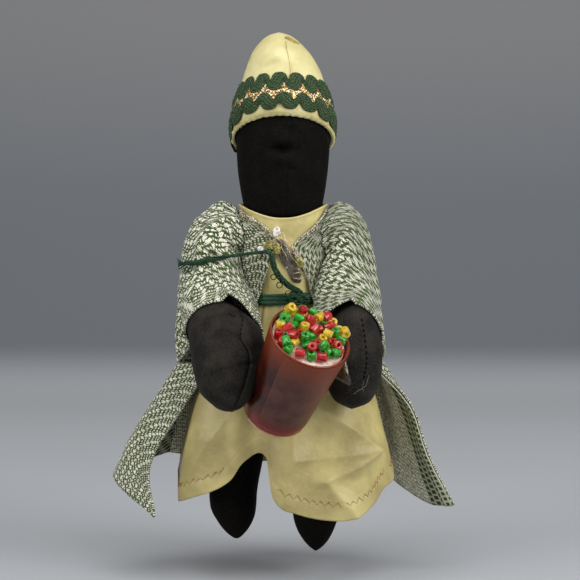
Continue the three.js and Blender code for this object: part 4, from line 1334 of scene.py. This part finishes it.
def clear_of_body(point, gap):
    """Pushes a point of a sleeve out of the dressed body."""
    height = clamp(point.z, -30, 52)
    if height > 0:
        wide = along(body_widths, height) + gap
        deep = along(body_depths, height) + gap
    else:
        spread = along(robe_spread, -height)
        wide, deep = lerp(*robe_half_widths, spread) + gap, lerp(*robe_half_depths, spread) + gap
    share = math.hypot(point.x / wide, point.y / deep)
    if share >= 1:
        return point
    return Vector((point.x / share, point.y / share, point.z))


def clear_of_arm(point, arm, gap):
    """Lifts a point of a sleeve off the stuffed arm under it."""
    found, spot, normal, face = arm.closest_point_on_mesh(point * mm)
    above = (point * mm - spot).dot(normal) / mm
    return point + normal * max(gap - above, 0) if above > -14 else point


floss_over_sleeve = sorted((x, (y, z)) for x, y, z in floss_route if x < -12)


def under_floss(point):
    """Where the floss lies over the right sleeve, it presses the sleeve in."""
    if not -60 < point.x < -15:
        return point
    depth = along([(x, place[0]) for x, place in floss_over_sleeve], point.x)
    height = along([(x, place[1]) for x, place in floss_over_sleeve], point.x)
    from_floss = abs(point.z - height)
    if point.y < -8 and from_floss < 6:
        point.y = max(point.y, depth + 1.9 - 0.09 * from_floss**2)
    return point


gathers_round_sleeve = 15


def bell(rings, turn, seed, arm):
    """A sleeve through rings: each has an outer and an inner point, a front and a back reach and a peak."""
    @lru_cache(maxsize=None)
    def rib(across):
        angle = -math.pi / 2 + turn * across * full_turn
        out, front = math.sin(angle), math.cos(angle)
        points = []
        for outer, inner, ahead, behind, peak in rings:
            outer, inner = Vector(outer), Vector(inner)
            centre, half = (outer + inner) / 2, (outer - inner) / 2
            reach = Vector(ahead) if front > 0 else Vector(behind)
            spot = centre + half * out + reach * abs(front)
            if front > 0:
                spot.z += reach.z * peak * (1 - abs(out) ** 1.2 - front)
            points.append(tuple(spot))
        return tuple(points)

    def cloth(across, up):
        down = 1 - up
        point = on_line(rib(across % 1), down)
        gathers = math.cos(across * full_turn * gathers_round_sleeve + 2 * rough((across * 9, seed, 0), 1))
        gathers *= 1 - eased(down, 0, 0.3)
        soft = 1.1 * rough((point.x / 9, point.y / 9, point.z / 16), 1, seed)
        fold = 1.1 * math.cos(across * full_turn * 4 + seed) * eased(down, 0.35, 0.9)
        middle = sum((Vector(spot) for spot in (rib(0.0)[-1], rib(0.5)[-1])), Vector()) / 2
        axis = Vector((middle.x * 0.6, 0, clamp(point.z, -20, 40)))
        out = (point - axis).normalized()
        point = clear_of_body(point + out * (gathers + soft + fold), 5.6 if down > 0.06 else 4.4)
        return under_floss(clear_of_arm(point, arm, 1.5) if down > 0.2 else point)
    return cloth


right_rings = [
    ((-27, 0, 53), (-27, 0, 23), (6, -14.5, 0), (6, 14.5, 0), 0),
    ((-37, -0.5, 56), (-28, -0.5, 22.5), (3, -17, 0), (3, 16.5, 0), 0),
    ((-49.3, -1, 46.2), (-25.5, -1, 22), (1, -18.5, 3), (0, 17, -2), 0),
    ((-57, -3, 31), (-22.5, -3, 22), (0, -20.5, 5), (0, 16, -4), 0),
    ((-58.6, -9, 14), (-21, -9, 12), (0, -18, 6), (0, 19, -6), 0),
    ((-59, -22, -8), (-14.5, -22, -4), (0, -17, 15), (0, 19, -12), 0.4),
    ((-58.5, -31, -33), (-12.5, -38, -21), (6.5, -18, 34), (0, 17, -6), 0.8),
]
left_rings = [
    ((26.5, 0, 53), (26.5, 0, 23), (-6, -14.5, 0), (-6, 14.5, 0), 0),
    ((34.2, -0.5, 56.3), (27.5, -0.5, 23), (-3, -17, 0), (-3, 16.5, 0), 0),
    ((45.5, -1, 47.5), (25.5, -1, 22), (-1, -18.5, 3), (0, 17, -2), 0),
    ((51, -2, 31), (22.5, -2, 22), (0, -19, 5), (0, 16, -4), 0),
    ((54.2, -6, 11), (18.5, -8, 14), (0, -18, 6), (0, 17, -6), 0),
    ((57, -16, -10), (17.2, -18, -2), (0, -16, 13), (0, 18, -12), 0.4),
    ((58, -22, -30), (17.5, -29, -12), (1, -18.5, 24), (0, 15, -8), 0.8),
]
for side, rings, sign, seed, flat, arm in (
    ("right", right_rings, -1, 31, (0.125, 0.082), arms[0]),
    ("left", left_rings, 1, 35, (0.115, 0.08), arms[1]),
):
    surface = bell(rings, -sign, seed, arm)
    sleeve = lay_cloth(f"coat_{side}_bell_sleeve", 200, 120, surface, closed=True, flip=True)
    worked(sleeve, "SMOOTH", factor=0.5, iterations=3)
    sleeve.data.materials.append(coat_outside.material)
    sleeve.data.materials.append(coat_outside.material)
    thicken(sleeve, coat_thickness, 0, lined=True)
    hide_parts(f"coat_{side}_sleeve")
    flat[0] * flat[1]
    sign * 0.028
    sign * 0.044
    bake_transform(sleeve)

# Left front facing. A strip of the weave turned back along the front edge of the left front,
# with the dark green squares of the selvedge and a pale folded rim.
facing_width, facing_reach, facing_off = 0.1, 0.21, 1.7
left_surface = hung(drape(left_rows), 24, 1.2)


def facing_cloth(across, up):
    here = 1 - facing_width + across * (facing_width - 0.006)
    high = up * facing_reach
    side = left_surface(min(here + 0.01, 1), high) - left_surface(here - 0.01, high)
    rising = left_surface(here, high + 0.01) - left_surface(here, max(high - 0.01, 0))
    out = -side.cross(rising).normalized()
    return left_surface(here, high) - out * facing_off


facing = lay_cloth("coat_left_facing_strip", 14, 60, facing_cloth)
thicken(facing, 0.7, 0)
facing_look = Look("selvedge_of_weave", {"Roughness": 0.9, "Sheen Weight": 0.12})
facing_across, facing_up = facing_look.threads()
facing_fibre = facing_look.lumps(facing_look.place(), 0.5, 3)
square_up = 1 - facing_look.rise(abs((facing_up / 3.4).part() - 0.5), 0.26, 0.36)
square_across = 1 - facing_look.rise(abs((facing_across / 3.2 + 0.5).part() - 0.5), 0.26, 0.38)
facing_ground = facing_look.mix(facing_fibre, dye(170, 172, 142), dye(222, 222, 196))
facing_squares = facing_look.mix(facing_fibre, dye(20, 44, 20), dye(58, 88, 46))
facing_look.feed({
    "Base Color": facing_look.mix(square_up * square_across, facing_ground, facing_squares),
    "Normal": facing_look.relief(facing_fibre, 0.5),
})
facing_look.onto(facing)
belongs(facing, "trunk", "coat_left_facing")

# Cup. A small tapered tumbler of thin red-brown clear plastic with a rolled rim. It lies
# slanted in the lap and both mittens are glued to it. Its own frame stands on its foot.
cup_place = Matrix.Translation((-4.5, -51, -60)) @ Vector((0, 0, 1)).rotation_difference(
    Vector((0.3161, -0.5878, 0.7447))
).to_matrix().to_4x4()
cup_axis = cup_place.to_3x3() @ Vector((0, 0, 1))
cup_foot = cup_place.translation
cup_height, rim_radius, base_radius, cup_wall, cup_floor = 61, 22.4, 17.6, 1.2, 2
rim_light_radius, inner_taper = base_radius - 0.3, 0.781


def chosen(piece, test):
    """Selects, in edit mode, the faces whose middle and normal pass a test, in millimetres."""
    bpy.ops.mesh.select_all(action="DESELECT")
    bpy.ops.object.mode_set(mode="OBJECT")
    for face in piece.data.polygons:
        face.select = test(face.center / mm, face.normal)
    bpy.ops.object.mode_set(mode="EDIT")


def stand_in_cup(piece, place=cup_place):
    """Takes a piece from the cup's own frame to where the cup lies."""
    for vertex in piece.data.vertices:
        vertex.co = (place @ (vertex.co / mm)) * mm
    piece.data.update()


def up_the_cup(look, place):
    """How far up the cup's axis a point is, in a finish."""
    dot = {"operation": "DOT_PRODUCT"}
    return look.node("ShaderNodeVectorMath", dot, {0: place, 1: tuple(cup_axis)}, 1) - cup_foot.dot(cup_axis)


bpy.ops.object.select_all(action="DESELECT")
bpy.ops.mesh.primitive_cone_add(
    vertices=96, radius1=base_radius * mm, radius2=rim_radius * mm, depth=cup_height * mm,
    location=(0, 0, cup_height / 2 * mm),
)
cup = bpy.context.object
cup.name = cup.data.name = "tumbler_of_clear_plastic"
bpy.ops.object.transform_apply()
in_edit_mode(
    cup,
    lambda: chosen(cup, lambda middle, normal: normal.z > 0.9),
    lambda: bpy.ops.mesh.inset(thickness=cup_wall * mm),
    lambda: bpy.ops.mesh.extrude_region_move(
        TRANSFORM_OT_translate={"value": (0, 0, (cup_floor - cup_height) * mm)}
    ),
    lambda: bpy.ops.transform.resize(
        value=(inner_taper, inner_taper, 1), center_override=(0, 0, cup_floor * mm)
    ),
)
worked(cup, "BEVEL", width=0.5 * mm, segments=3, limit_method="ANGLE", angle_limit=math.radians(50))
stand_in_cup(cup)
bpy.ops.object.shade_smooth_by_angle(angle=math.radians(35))
cup_look = Look("red_brown_clear_plastic", {
    "Roughness": 0.26,
    "Transmission Weight": 0.3,
    "IOR": 1.45,
    "Specular IOR Level": 0.35,
    "Coat Weight": 0.08,
    "Coat Roughness": 0.15,
})
cup_at = cup_look.place()
cup_along = up_the_cup(cup_look, cup_at)
cup_clouds = cup_look.lumps(cup_at, 11, 3)
cup_dust = cup_look.lumps(cup_at, 0.7, 2)
# The plastic is darker in clouds and lighter towards the rim. The red towards the foot is a painted glow of
# light through the plastic, and the pale band at the very foot is a painted rim light.
cup_colour = cup_look.mix(cup_look.rise(cup_clouds, 0.3, 0.7), dye(32, 8, 3), dye(80, 24, 8))
cup_colour = cup_look.mix(cup_look.rise(cup_along, 40, 62), cup_colour, dye(138, 56, 26))
cup_colour = cup_look.mix(1 - cup_look.rise(cup_along, 3, 13), cup_colour, dye(140, 44, 30))
cup_colour = cup_look.mix(1 - cup_look.rise(cup_along, 0.7, 1.5), cup_colour, dye(222, 176, 136))
cup_look.feed({
    "Base Color": cup_look.mix(cup_look.rise(cup_dust, 0.66, 0.76) * 0.25, cup_colour, dye(170, 110, 80)),
    "Normal": cup_look.relief(cup_clouds, 0.1),
})
cup_look.onto(cup)
belongs(cup, "left_arm", "cup")

# A pale ring round the cup's foot: a painted rim light.
rim_light_line = []
for i in range(97):
    angle = i / 96 * full_turn
    around = Vector((math.sin(angle) * rim_light_radius, -math.cos(angle) * rim_light_radius, 0.35))
    rim_light_line.append(cup_place @ around)
rim_light_ring = run_threads("painted_rim_light_at_cup_foot", [rim_light_line], 0.9, 2)
rim_light_fixed = {"Roughness": 0.2, "Transmission Weight": 0.3, "IOR": 1.45}
rim_light_dyes = (190, 120, 84), (236, 206, 168)
plain_look("painted_rim_light", rim_light_fixed, 6, 3, *rim_light_dyes, rise=(0.35, 0.65)).onto(rim_light_ring)
belongs(rim_light_ring, "left_arm")

# Frosted wrap of the cup. A thin milky film is stuck round its front and its left side. It stops
# short of the rim and of the foot, and its edges have lifted a little.
wrap_low, wrap_high, wrap_start, wrap_end, wrap_thickness, wrap_gap = 5, 60.2, -32, 118, 0.12, 0.3


def cup_radius(height):
    return lerp(base_radius, rim_radius, height / cup_height)


bpy.ops.object.select_all(action="DESELECT")
bpy.ops.mesh.primitive_cone_add(
    vertices=240, end_fill_type="NOTHING",
    radius1=(cup_radius(wrap_low) + wrap_gap) * mm, radius2=(cup_radius(wrap_high) + wrap_gap) * mm,
    depth=(wrap_high - wrap_low) * mm, location=(0, 0, (wrap_high + wrap_low) / 2 * mm),
)
wrap = bpy.context.object
wrap.name = wrap.data.name = "frosted_wrap_film"
bpy.ops.object.transform_apply()
in_edit_mode(
    wrap,
    lambda: chosen(wrap, lambda middle, normal: not wrap_start
                   < math.degrees(math.atan2(middle.x, -middle.y)) < wrap_end),
    lambda: bpy.ops.mesh.delete(type="FACE"),
    lambda: bpy.ops.mesh.select_all(action="SELECT"),
    lambda: bpy.ops.mesh.subdivide(number_cuts=5),
)


def rippled_film(point):
    return point + Vector((point.x, point.y, 0)).normalized() * (
        0.12 * rough((point.x / 6, point.y / 6, point.z / 9), 1, 40)
    )


shape(wrap, rippled_film)
worked(wrap, "SOLIDIFY", thickness=wrap_thickness * mm, offset=1)
stand_in_cup(wrap)
bpy.ops.object.shade_smooth_by_angle(angle=math.radians(35))
wrap_look = Look("frosted_film", {
    "Roughness": 0.5, "Transmission Weight": 0.35, "IOR": 1.4, "Specular IOR Level": 0.4,
})
wrap_at = wrap_look.place()
wrap_clouds = wrap_look.lumps(wrap_at, 8, 4)
wrap_dust = wrap_look.lumps(wrap_at, 0.8, 3, 0.7)
wrap_side = wrap_look.parts(wrap_at)[0]
wrap_along = up_the_cup(wrap_look, wrap_at)
# The film is painted lighter towards the doll's left, where the light falls. It takes the cup's colour near
# the rim and is redder towards the foot, like the cup's painted glow.
wrap_colour = wrap_look.mix(wrap_look.rise(wrap_clouds, 0.3, 0.7), dye(80, 46, 38), dye(108, 66, 54))
wrap_colour = wrap_look.mix(wrap_look.rise(wrap_side, 6, 26), wrap_colour, dye(128, 72, 50))
wrap_colour = wrap_look.mix(wrap_look.rise(wrap_along, 40, 60), wrap_colour, dye(140, 62, 34))
wrap_colour = wrap_look.mix(1 - wrap_look.rise(wrap_along, 5, 15), wrap_colour, dye(120, 44, 32))
wrap_look.feed({
    "Base Color": wrap_look.mix(wrap_look.rise(wrap_dust, 0.58, 0.7) * 0.45, wrap_colour, dye(160, 130, 114)),
    "Roughness": wrap_look.rise(wrap_dust, 0.3, 0.8) * 0.2 + 0.36,
    "Normal": wrap_look.relief(wrap_clouds, 0.15),
})
wrap_look.onto(wrap)
belongs(wrap, "left_arm", "cup_label")

# Filler of the cup. White filling, glued in and heaped a little, with the beads glued on top.
filler = from_solid("cup_fill", "white_filler_heap", 0.8, 3)
fill_top = 56.5
cup_back = cup_place.inverted()


def fill_lumps(point):
    inside = cup_back @ point
    if inside.z < fill_top:
        return point
    lift = 0.35 * rough(inside, 2.4, 44) + 0.2 * rough(inside, 1.1, 45) - 0.15
    return point + cup_axis * lift


shape(filler, fill_lumps)
bpy.ops.object.shade_smooth()
filler_fixed = {"Roughness": 0.6, "Sheen Weight": 0.2}
filler_dyes = (206, 168, 152), (246, 232, 216)
plain_look("white_filling", filler_fixed, 1.6, 4, *filler_dyes, rise=(0.3, 0.7), bump=0.5).onto(filler)
belongs(filler, "left_arm", "cup_fill")

# Beads. Short tubes of clear plastic in red, green and yellow, glued to the filling as they
# fell, some upright and some on their sides.
bead_radius, bead_bore, bead_length = 2.35, 0.8, 4.8
heap_lean = 0.09
bead_turn = math.radians(137.5)
# Each bead's colour, how far left and back of the cup's axis it is, and whether it stands
bead_places = [
    ("green", -15.2, 8.2, 0), ("red", -17.1, -5.4, 1), ("yellow", -11.7, 13.5, 1), ("green", -10.5, 3.0, 0),
    ("red", -14.5, -10.5, 1), ("green", -0.6, 17.2, 0), ("green", 6.0, 11.2, 1), ("red", 5.8, 16.9, 1),
    ("yellow", -17.2, 0.9, 0), ("green", 16.8, 3.8, 0), ("red", 10.1, 5.8, 0), ("green", -10.5, -14.5, 1),
    ("red", -3.9, 5.1, 0), ("yellow", -6.7, 10.8, 1), ("green", 0, -0.7, 0), ("red", -6.3, -1.8, 1),
    ("yellow", 10.8, 14.3, 1), ("green", 2.1, -13.4, 1), ("red", 4.4, -5.3, 1), ("green", -1.3, -8.0, 0),
    ("yellow", 14.7, 10.2, 1), ("red", -4.1, -14.5, 0), ("green", 10.3, -7.6, 0), ("red", 12.0, -0.3, 1),
    ("yellow", -8.3, -8.6, 0), ("green", -6.9, 16.5, 1), ("red", 16.6, -4.6, 0), ("yellow", 6.3, 0.1, 1),
    ("green", -11.8, -3.3, 1), ("red", 3.1, 5.6, 0),
]
bead_colours = {
    "red": (dye(190, 14, 20), dye(240, 60, 60)),
    "green": (dye(20, 150, 30), dye(90, 226, 80)),
    "yellow": (dye(246, 196, 10), dye(255, 238, 90)),
}
fill_edge = cup_radius(fill_top) - cup_wall - 0.35


def heap_top(radius):
    """The CAD's heap, through its three stations."""
    return along([(0, fill_top + 3), (fill_edge * 0.54, fill_top + 2.6), (fill_edge, fill_top + 2.2)], radius)


bpy.ops.object.select_all(action="DESELECT")
bpy.ops.mesh.primitive_cylinder_add(
    vertices=28, radius=bead_radius * mm, depth=bead_length * mm, end_fill_type="NOTHING",
)
first_bead = bpy.context.object
first_bead.name = "clear_tube_bead"
worked(first_bead, "SOLIDIFY", thickness=(bead_radius - bead_bore) * mm, offset=-1)
worked(first_bead, "BEVEL", width=0.42 * mm, segments=3, limit_method="ANGLE", angle_limit=math.radians(50))
bpy.ops.object.shade_smooth_by_angle(angle=math.radians(50))
bead_looks = {}
for colour, (deep, bright) in bead_colours.items():
    look = Look(f"clear_{colour}_bead_plastic", {
        "Roughness": 0.08,
        "Transmission Weight": 0.6,
        "IOR": 1.4,
        "Coat Weight": 0.4,
        "Coat Roughness": 0.05,
    })
    bead_lumps = look.lumps(look.place(), 2.2, 3)
    look.feed({
        "Base Color": look.mix(look.rise(bead_lumps, 0.32, 0.68), deep, bright),
        "Normal": look.relief(look.lumps(look.place(), 1.2, 2), 0.12),
    })
    bead_looks[colour] = look


def lay_bead(place):
    """A copy of the first bead at a place in the cup's own frame."""
    bead = first_bead.copy()
    bead.data = first_bead.data.copy()
    bpy.context.scene.collection.objects.link(bead)
    stand_in_cup(bead, cup_place @ place)
    return bead


def joined(name, pieces):
    """Joins pieces into one."""
    pick(*pieces)
    bpy.ops.object.join()
    pieces[0].name = pieces[0].data.name = name
    return pieces[0]


for i, (colour, left, back, stands) in enumerate(bead_places):
    up = heap_top(math.hypot(left, back)) + heap_lean * back + 0.45
    place = Matrix.Translation((left, back, up + (bead_length / 2 - 0.2 if stands else bead_radius + 0.1)))
    place = place @ Matrix.Rotation(i * bead_turn, 4, "Z")
    lean = 0.32 * math.sin(i * 2.3)
    place = place @ Matrix.Rotation(lean if stands else math.pi / 2 + lean * 0.5, 4, "Y")
    bead = lay_bead(place)
    bead.name = bead.data.name = f"tube_bead_{i + 1:02d}_{colour}"
    bead_looks[colour].onto(bead)
    belongs(bead, "left_arm", f"bead_{i + 1:02d}_{colour}")
spares = {"red": [], "green": [], "yellow": []}
# The spare beads on top: colour, how far left and back, and how high over the heap
spare_places = [
    ("red", -13.2, -1.6, 2.6), ("green", -8.6, 7, 2.8), ("yellow", -14.2, 11.6, 3.8), ("red", -2.4, 8.8, 2.6),
    ("yellow", 2.4, 12.8, 2.6), ("red", 9, 8.6, 2.8), ("green", 12.4, 5.4, 2.6), ("yellow", 17.6, 7.4, 3.6),
    ("red", 0.6, 3, 2.6), ("green", -3.4, -4.6, 2.6), ("red", -9.8, -5.8, 2.8), ("green", -12.8, -11.4, 2.6),
    ("red", 1.2, -10.6, 2.6), ("green", 7.4, -6.4, 2.8), ("yellow", 8.6, 2.8, 2.6), ("red", 14.2, -3, 2.6),
    ("red", -7.2, 13.4, 2.8), ("green", 14.4, -7.2, 1.4), ("red", 8.2, -12.2, 0.4),
    ("yellow", -4.6, 1.8, 2.6), ("green", -16.4, 4.6, 2.6), ("red", 6.2, 14.6, 2.8),
]
for i, (colour, left, back, lift) in enumerate(spare_places):
    up = heap_top(math.hypot(left, back)) + heap_lean * back + bead_radius + lift
    turn = Matrix.Rotation(i * bead_turn + 0.7, 4, "Z")
    tilt = Matrix.Rotation(0.9 + 0.7 * math.sin(i * 1.9), 4, "Y")
    place = Matrix.Translation((left, back, up)) @ turn @ tilt @ Matrix.Scale(1.06, 4)
    spares[colour].append(lay_bead(place))
for colour, beads in spares.items():
    heap = joined(f"upper_beads_{colour}", beads)
    bead_looks[colour].onto(heap)
    belongs(heap, "left_arm")
bpy.data.objects.remove(first_bead)

# Dried clear glue. A smear of it has run down the chest over the robe's neck, milky where it
# is thick, and a brown web of it holds the left mitten to the cup.
glue_look = Look("dried_clear_glue", {
    "Roughness": 0.12,
    "Transmission Weight": 0.6,
    "IOR": 1.47,
    "Coat Weight": 0.6,
    "Coat Roughness": 0.06,
})
glue_at = glue_look.place()
glue_tone = glue_look.lumps(glue_at, 5, 3)
glue_froth = glue_look.lumps(glue_at, 2.2, 4, 0.6)
glue_olive = glue_look.rise(glue_look.lumps(glue_at, 3.7, 2), 0.58, 0.66)
glue_colour = glue_look.mix(glue_look.rise(glue_tone, 0.4, 0.62), dye(98, 90, 80), dye(140, 132, 120))
glue_colour = glue_look.mix(glue_olive, glue_colour, dye(112, 104, 52))
glue_look.feed({
    "Base Color": glue_look.mix(glue_look.rise(glue_froth, 0.66, 0.74), glue_colour, dye(206, 202, 188)),
    "Roughness": glue_look.rise(glue_froth, 0.5, 0.7) * 0.25 + 0.06,
    "Alpha": glue_look.rise(glue_froth, 0.35, 0.55) * 0.35 + 0.62,
    "Normal": glue_look.relief(glue_tone, 0.6, glue_look.relief(glue_froth, 0.4)),
})


def glue_from(node, name, depth, seed, body, spread=0):
    """The dried glue in place of a CAD solid, with runs and lumps. A spread one is widened as it runs."""
    piece = from_solid(node, name, 0.5, 4)

    def runs(point):
        push = rough(point, 3.2, seed) + 0.6 * rough(point, 1.5, seed + 1)
        if spread:
            middle = lerp(-1.2, 9.9, (37 - point.z) / 27)
            wide = 1 + spread * (1 + 0.5 * rough((0, 0, point.z), 4, seed))
            point.x = middle + (point.x - middle) * wide - 3 * eased(point.z, 16, 37)
        return point + Vector((0.3, -0.7, 0.2)) * (push * depth)
    shape(piece, runs)
    bpy.ops.object.shade_smooth()
    belongs(piece, body, node)
    return piece


glue_look.onto(glue_from("chest_glue", "glue_smear_on_chest", 0.8, 50, "trunk", 0.4))
glue_hairs = []
for i, (first, middle, last) in enumerate((
    ((-2.2, 38.6), (1.4, 32), (7.4, 22.4)), ((-0.6, 39.8), (4.6, 31), (9.4, 24.6)),
    ((-3.4, 38), (-1.2, 34), (2.2, 24.2)), ((0.8, 36), (5.2, 33), (8.2, 27)),
    ((6.2, 16.4), (10.4, 17.4), (12.6, 14)), ((5.8, 14), (9.8, 13.4), (12.2, 17)),
)):
    line = []
    for step in range(13):
        across, height = on_line([(*first, 0), (*middle, 0), (*last, 0)], step / 12).xy
        wave = 0.5 * math.sin(step * 1.1 + i)
        line.append(on_body(math.asin((across + wave) / 29), height, 7.0))
    glue_hairs.append(line)
chest_hairs = run_threads("long_fibres_in_glue", glue_hairs, 0.32)
fray_look.onto(chest_hairs)
belongs(chest_hairs, "trunk")


def glue_drops(name, drops, look):
    """Drops that dried on the weave: each has its place across, its height and its two radii."""
    made = []
    for across, height, wide, tall in drops:
        spot = on_body(math.asin(across / 28), height, 6.2)
        bpy.ops.mesh.primitive_ico_sphere_add(
            subdivisions=4, radius=mm, location=spot * mm, scale=(wide, 0.9, tall)
        )
        bpy.ops.object.transform_apply()
        made.append(bpy.context.object)
    piece = joined(name, made)

    def dried(point):
        push = Vector((rough(point, 2.1, 80), 0.4 * rough(point, 1.2, 81), rough(point, 2.1, 82)))
        return point + push * 1.3
    shape(piece, dried)
    bpy.ops.object.shade_smooth()
    look.onto(piece)
    belongs(piece, "trunk")


white_fixed = {"Roughness": 0.25, "Coat Weight": 0.4, "Transmission Weight": 0.2}
white_dyes = (196, 188, 176), (252, 250, 244)
glue_drops(
    "white_glue_drops",
    [(-3.3, 40.4, 2.2, 2.8), (-11.6, 29.8, 1.7, 1.9), (-8.4, 27.4, 1, 1.3), (1.9, 19.4, 0.7, 0.7)],
    plain_look("white_dried_glue", white_fixed, 1.4, 3, *white_dyes, rise=(0.35, 0.65), bump=0.3),
)
olive_look = Look("olive_dried_glue", {
    "Roughness": 0.14, "Coat Weight": 0.5, "Transmission Weight": 0.15, "IOR": 1.47,
})
olive_lumps = olive_look.lumps(olive_look.place(), 2.2, 3)
olive_look.feed({
    "Base Color": olive_look.mix(olive_look.rise(olive_lumps, 0.3, 0.7), dye(96, 88, 26), dye(170, 160, 76)),
    "Alpha": olive_look.rise(olive_lumps, 0.3, 0.6) * 0.2 + 0.75,
    "Normal": olive_look.relief(olive_lumps, 0.4),
})
olive_drops = [(-7.2, 32.4, 3.2, 2.3), (-3, 31, 2.2, 3.4), (9.2, 22.6, 2, 3.4)]
glue_drops("olive_glue_patches", olive_drops, olive_look)
web = glue_from("hand_glue", "glue_web_at_left_mitten", 0.5, 53, "left_arm")
web_low, web_high = (Vector(corner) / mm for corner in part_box("hand_glue"))
web_middle = (web_low + web_high) / 2
web_run, web_side = Vector((0.62, 0, -0.78)), Vector((0.78, 0, 0.62))


def flattened_web(point):
    off = point - web_middle
    along_run, aside = off.dot(web_run), off.dot(web_side)
    aside = aside * lerp(1.15, 0.55, eased(along_run, -4, 5))
    return web_middle + web_run * (along_run * 1.5 + 1) + web_side * aside + Vector((0, off.y - 0.6, 0))


shape(web, flattened_web)
web_fixed = {
    "Roughness": 0.2, "Transmission Weight": 0.35, "IOR": 1.47, "Coat Weight": 0.5, "Coat Roughness": 0.1,
}
web_dyes = (44, 34, 14), (92, 78, 44)
plain_look("brown_dried_glue", web_fixed, 2.5, 4, *web_dyes, rise=(0.35, 0.65), bump=0.5).onto(web)

# Room. A pale paper sweep: a floor just under the toes that curves up into the backdrop. Large
# soft boxes stand at both sides and one hangs above the camera.
floor_height = -149.5
sweep_line = [
    (0, -2400, floor_height), (0, 500, floor_height), (0, 900, floor_height + 40),
    (0, 1200, floor_height + 260), (0, 1300, floor_height + 700), (0, 1300, floor_height + 2400),
]


def sweep_cloth(across, up):
    point = on_line(sweep_line, up)
    point.x = (0.5 - across) * 5600
    return point


backdrop = lay_cloth("paper_sweep", 4, 60, sweep_cloth)
backdrop_look = Look("pale_grey_paper", {"Roughness": 0.95, "Specular IOR Level": 0.1})
paper_place = backdrop_look.place()
paper_grain = backdrop_look.lumps(paper_place, 6, 3)
paper_height = backdrop_look.parts(paper_place)[2]
paper = backdrop_look.mix(paper_grain * 0.3, dye(170, 173, 177), dye(178, 180, 183))
# The paper is painted darker round the bend of the sweep and up the backdrop: painted shade.
bend = backdrop_look.rise(paper_height, floor_height + 6, floor_height + 50)
paper = backdrop_look.mix(bend, paper, dye(115, 119, 124))
upper = backdrop_look.rise(paper_height, 20, 340)
backdrop_look.feed({"Base Color": backdrop_look.mix(upper, paper, dye(134, 134, 135))})
backdrop_look.onto(backdrop)


def soft_box(name, place, size, power):
    bpy.ops.object.select_all(action="DESELECT")
    aim = (Vector((0, 0, 0)) - Vector(place)).to_track_quat("-Z", "Y").to_euler()
    bpy.ops.object.light_add(type="AREA", location=Vector(place) * mm, rotation=aim)
    lamp = bpy.context.object
    lamp.name = lamp.data.name = name
    lamp.data.shape = "RECTANGLE"
    lamp.data.size, lamp.data.size_y = size[0] * mm, size[1] * mm
    lamp.data.energy = power
    return lamp


soft_box("soft_box_right", (1100, -800, 600), (700, 1000), 16)
soft_box("soft_box_left", (-1100, -800, 600), (700, 1000), 10)
soft_box("soft_box_above", (0, -500, 1300), (1200, 800), 10)
world = bpy.data.worlds.new("studio_air")
world.use_nodes = True
world.node_tree.nodes["Background"].inputs["Color"].default_value = (1, 1, 1, 1)
world.node_tree.nodes["Background"].inputs["Strength"].default_value = 0.36
bpy.context.scene.world = world
bpy.context.scene.view_settings.view_transform = "Standard"
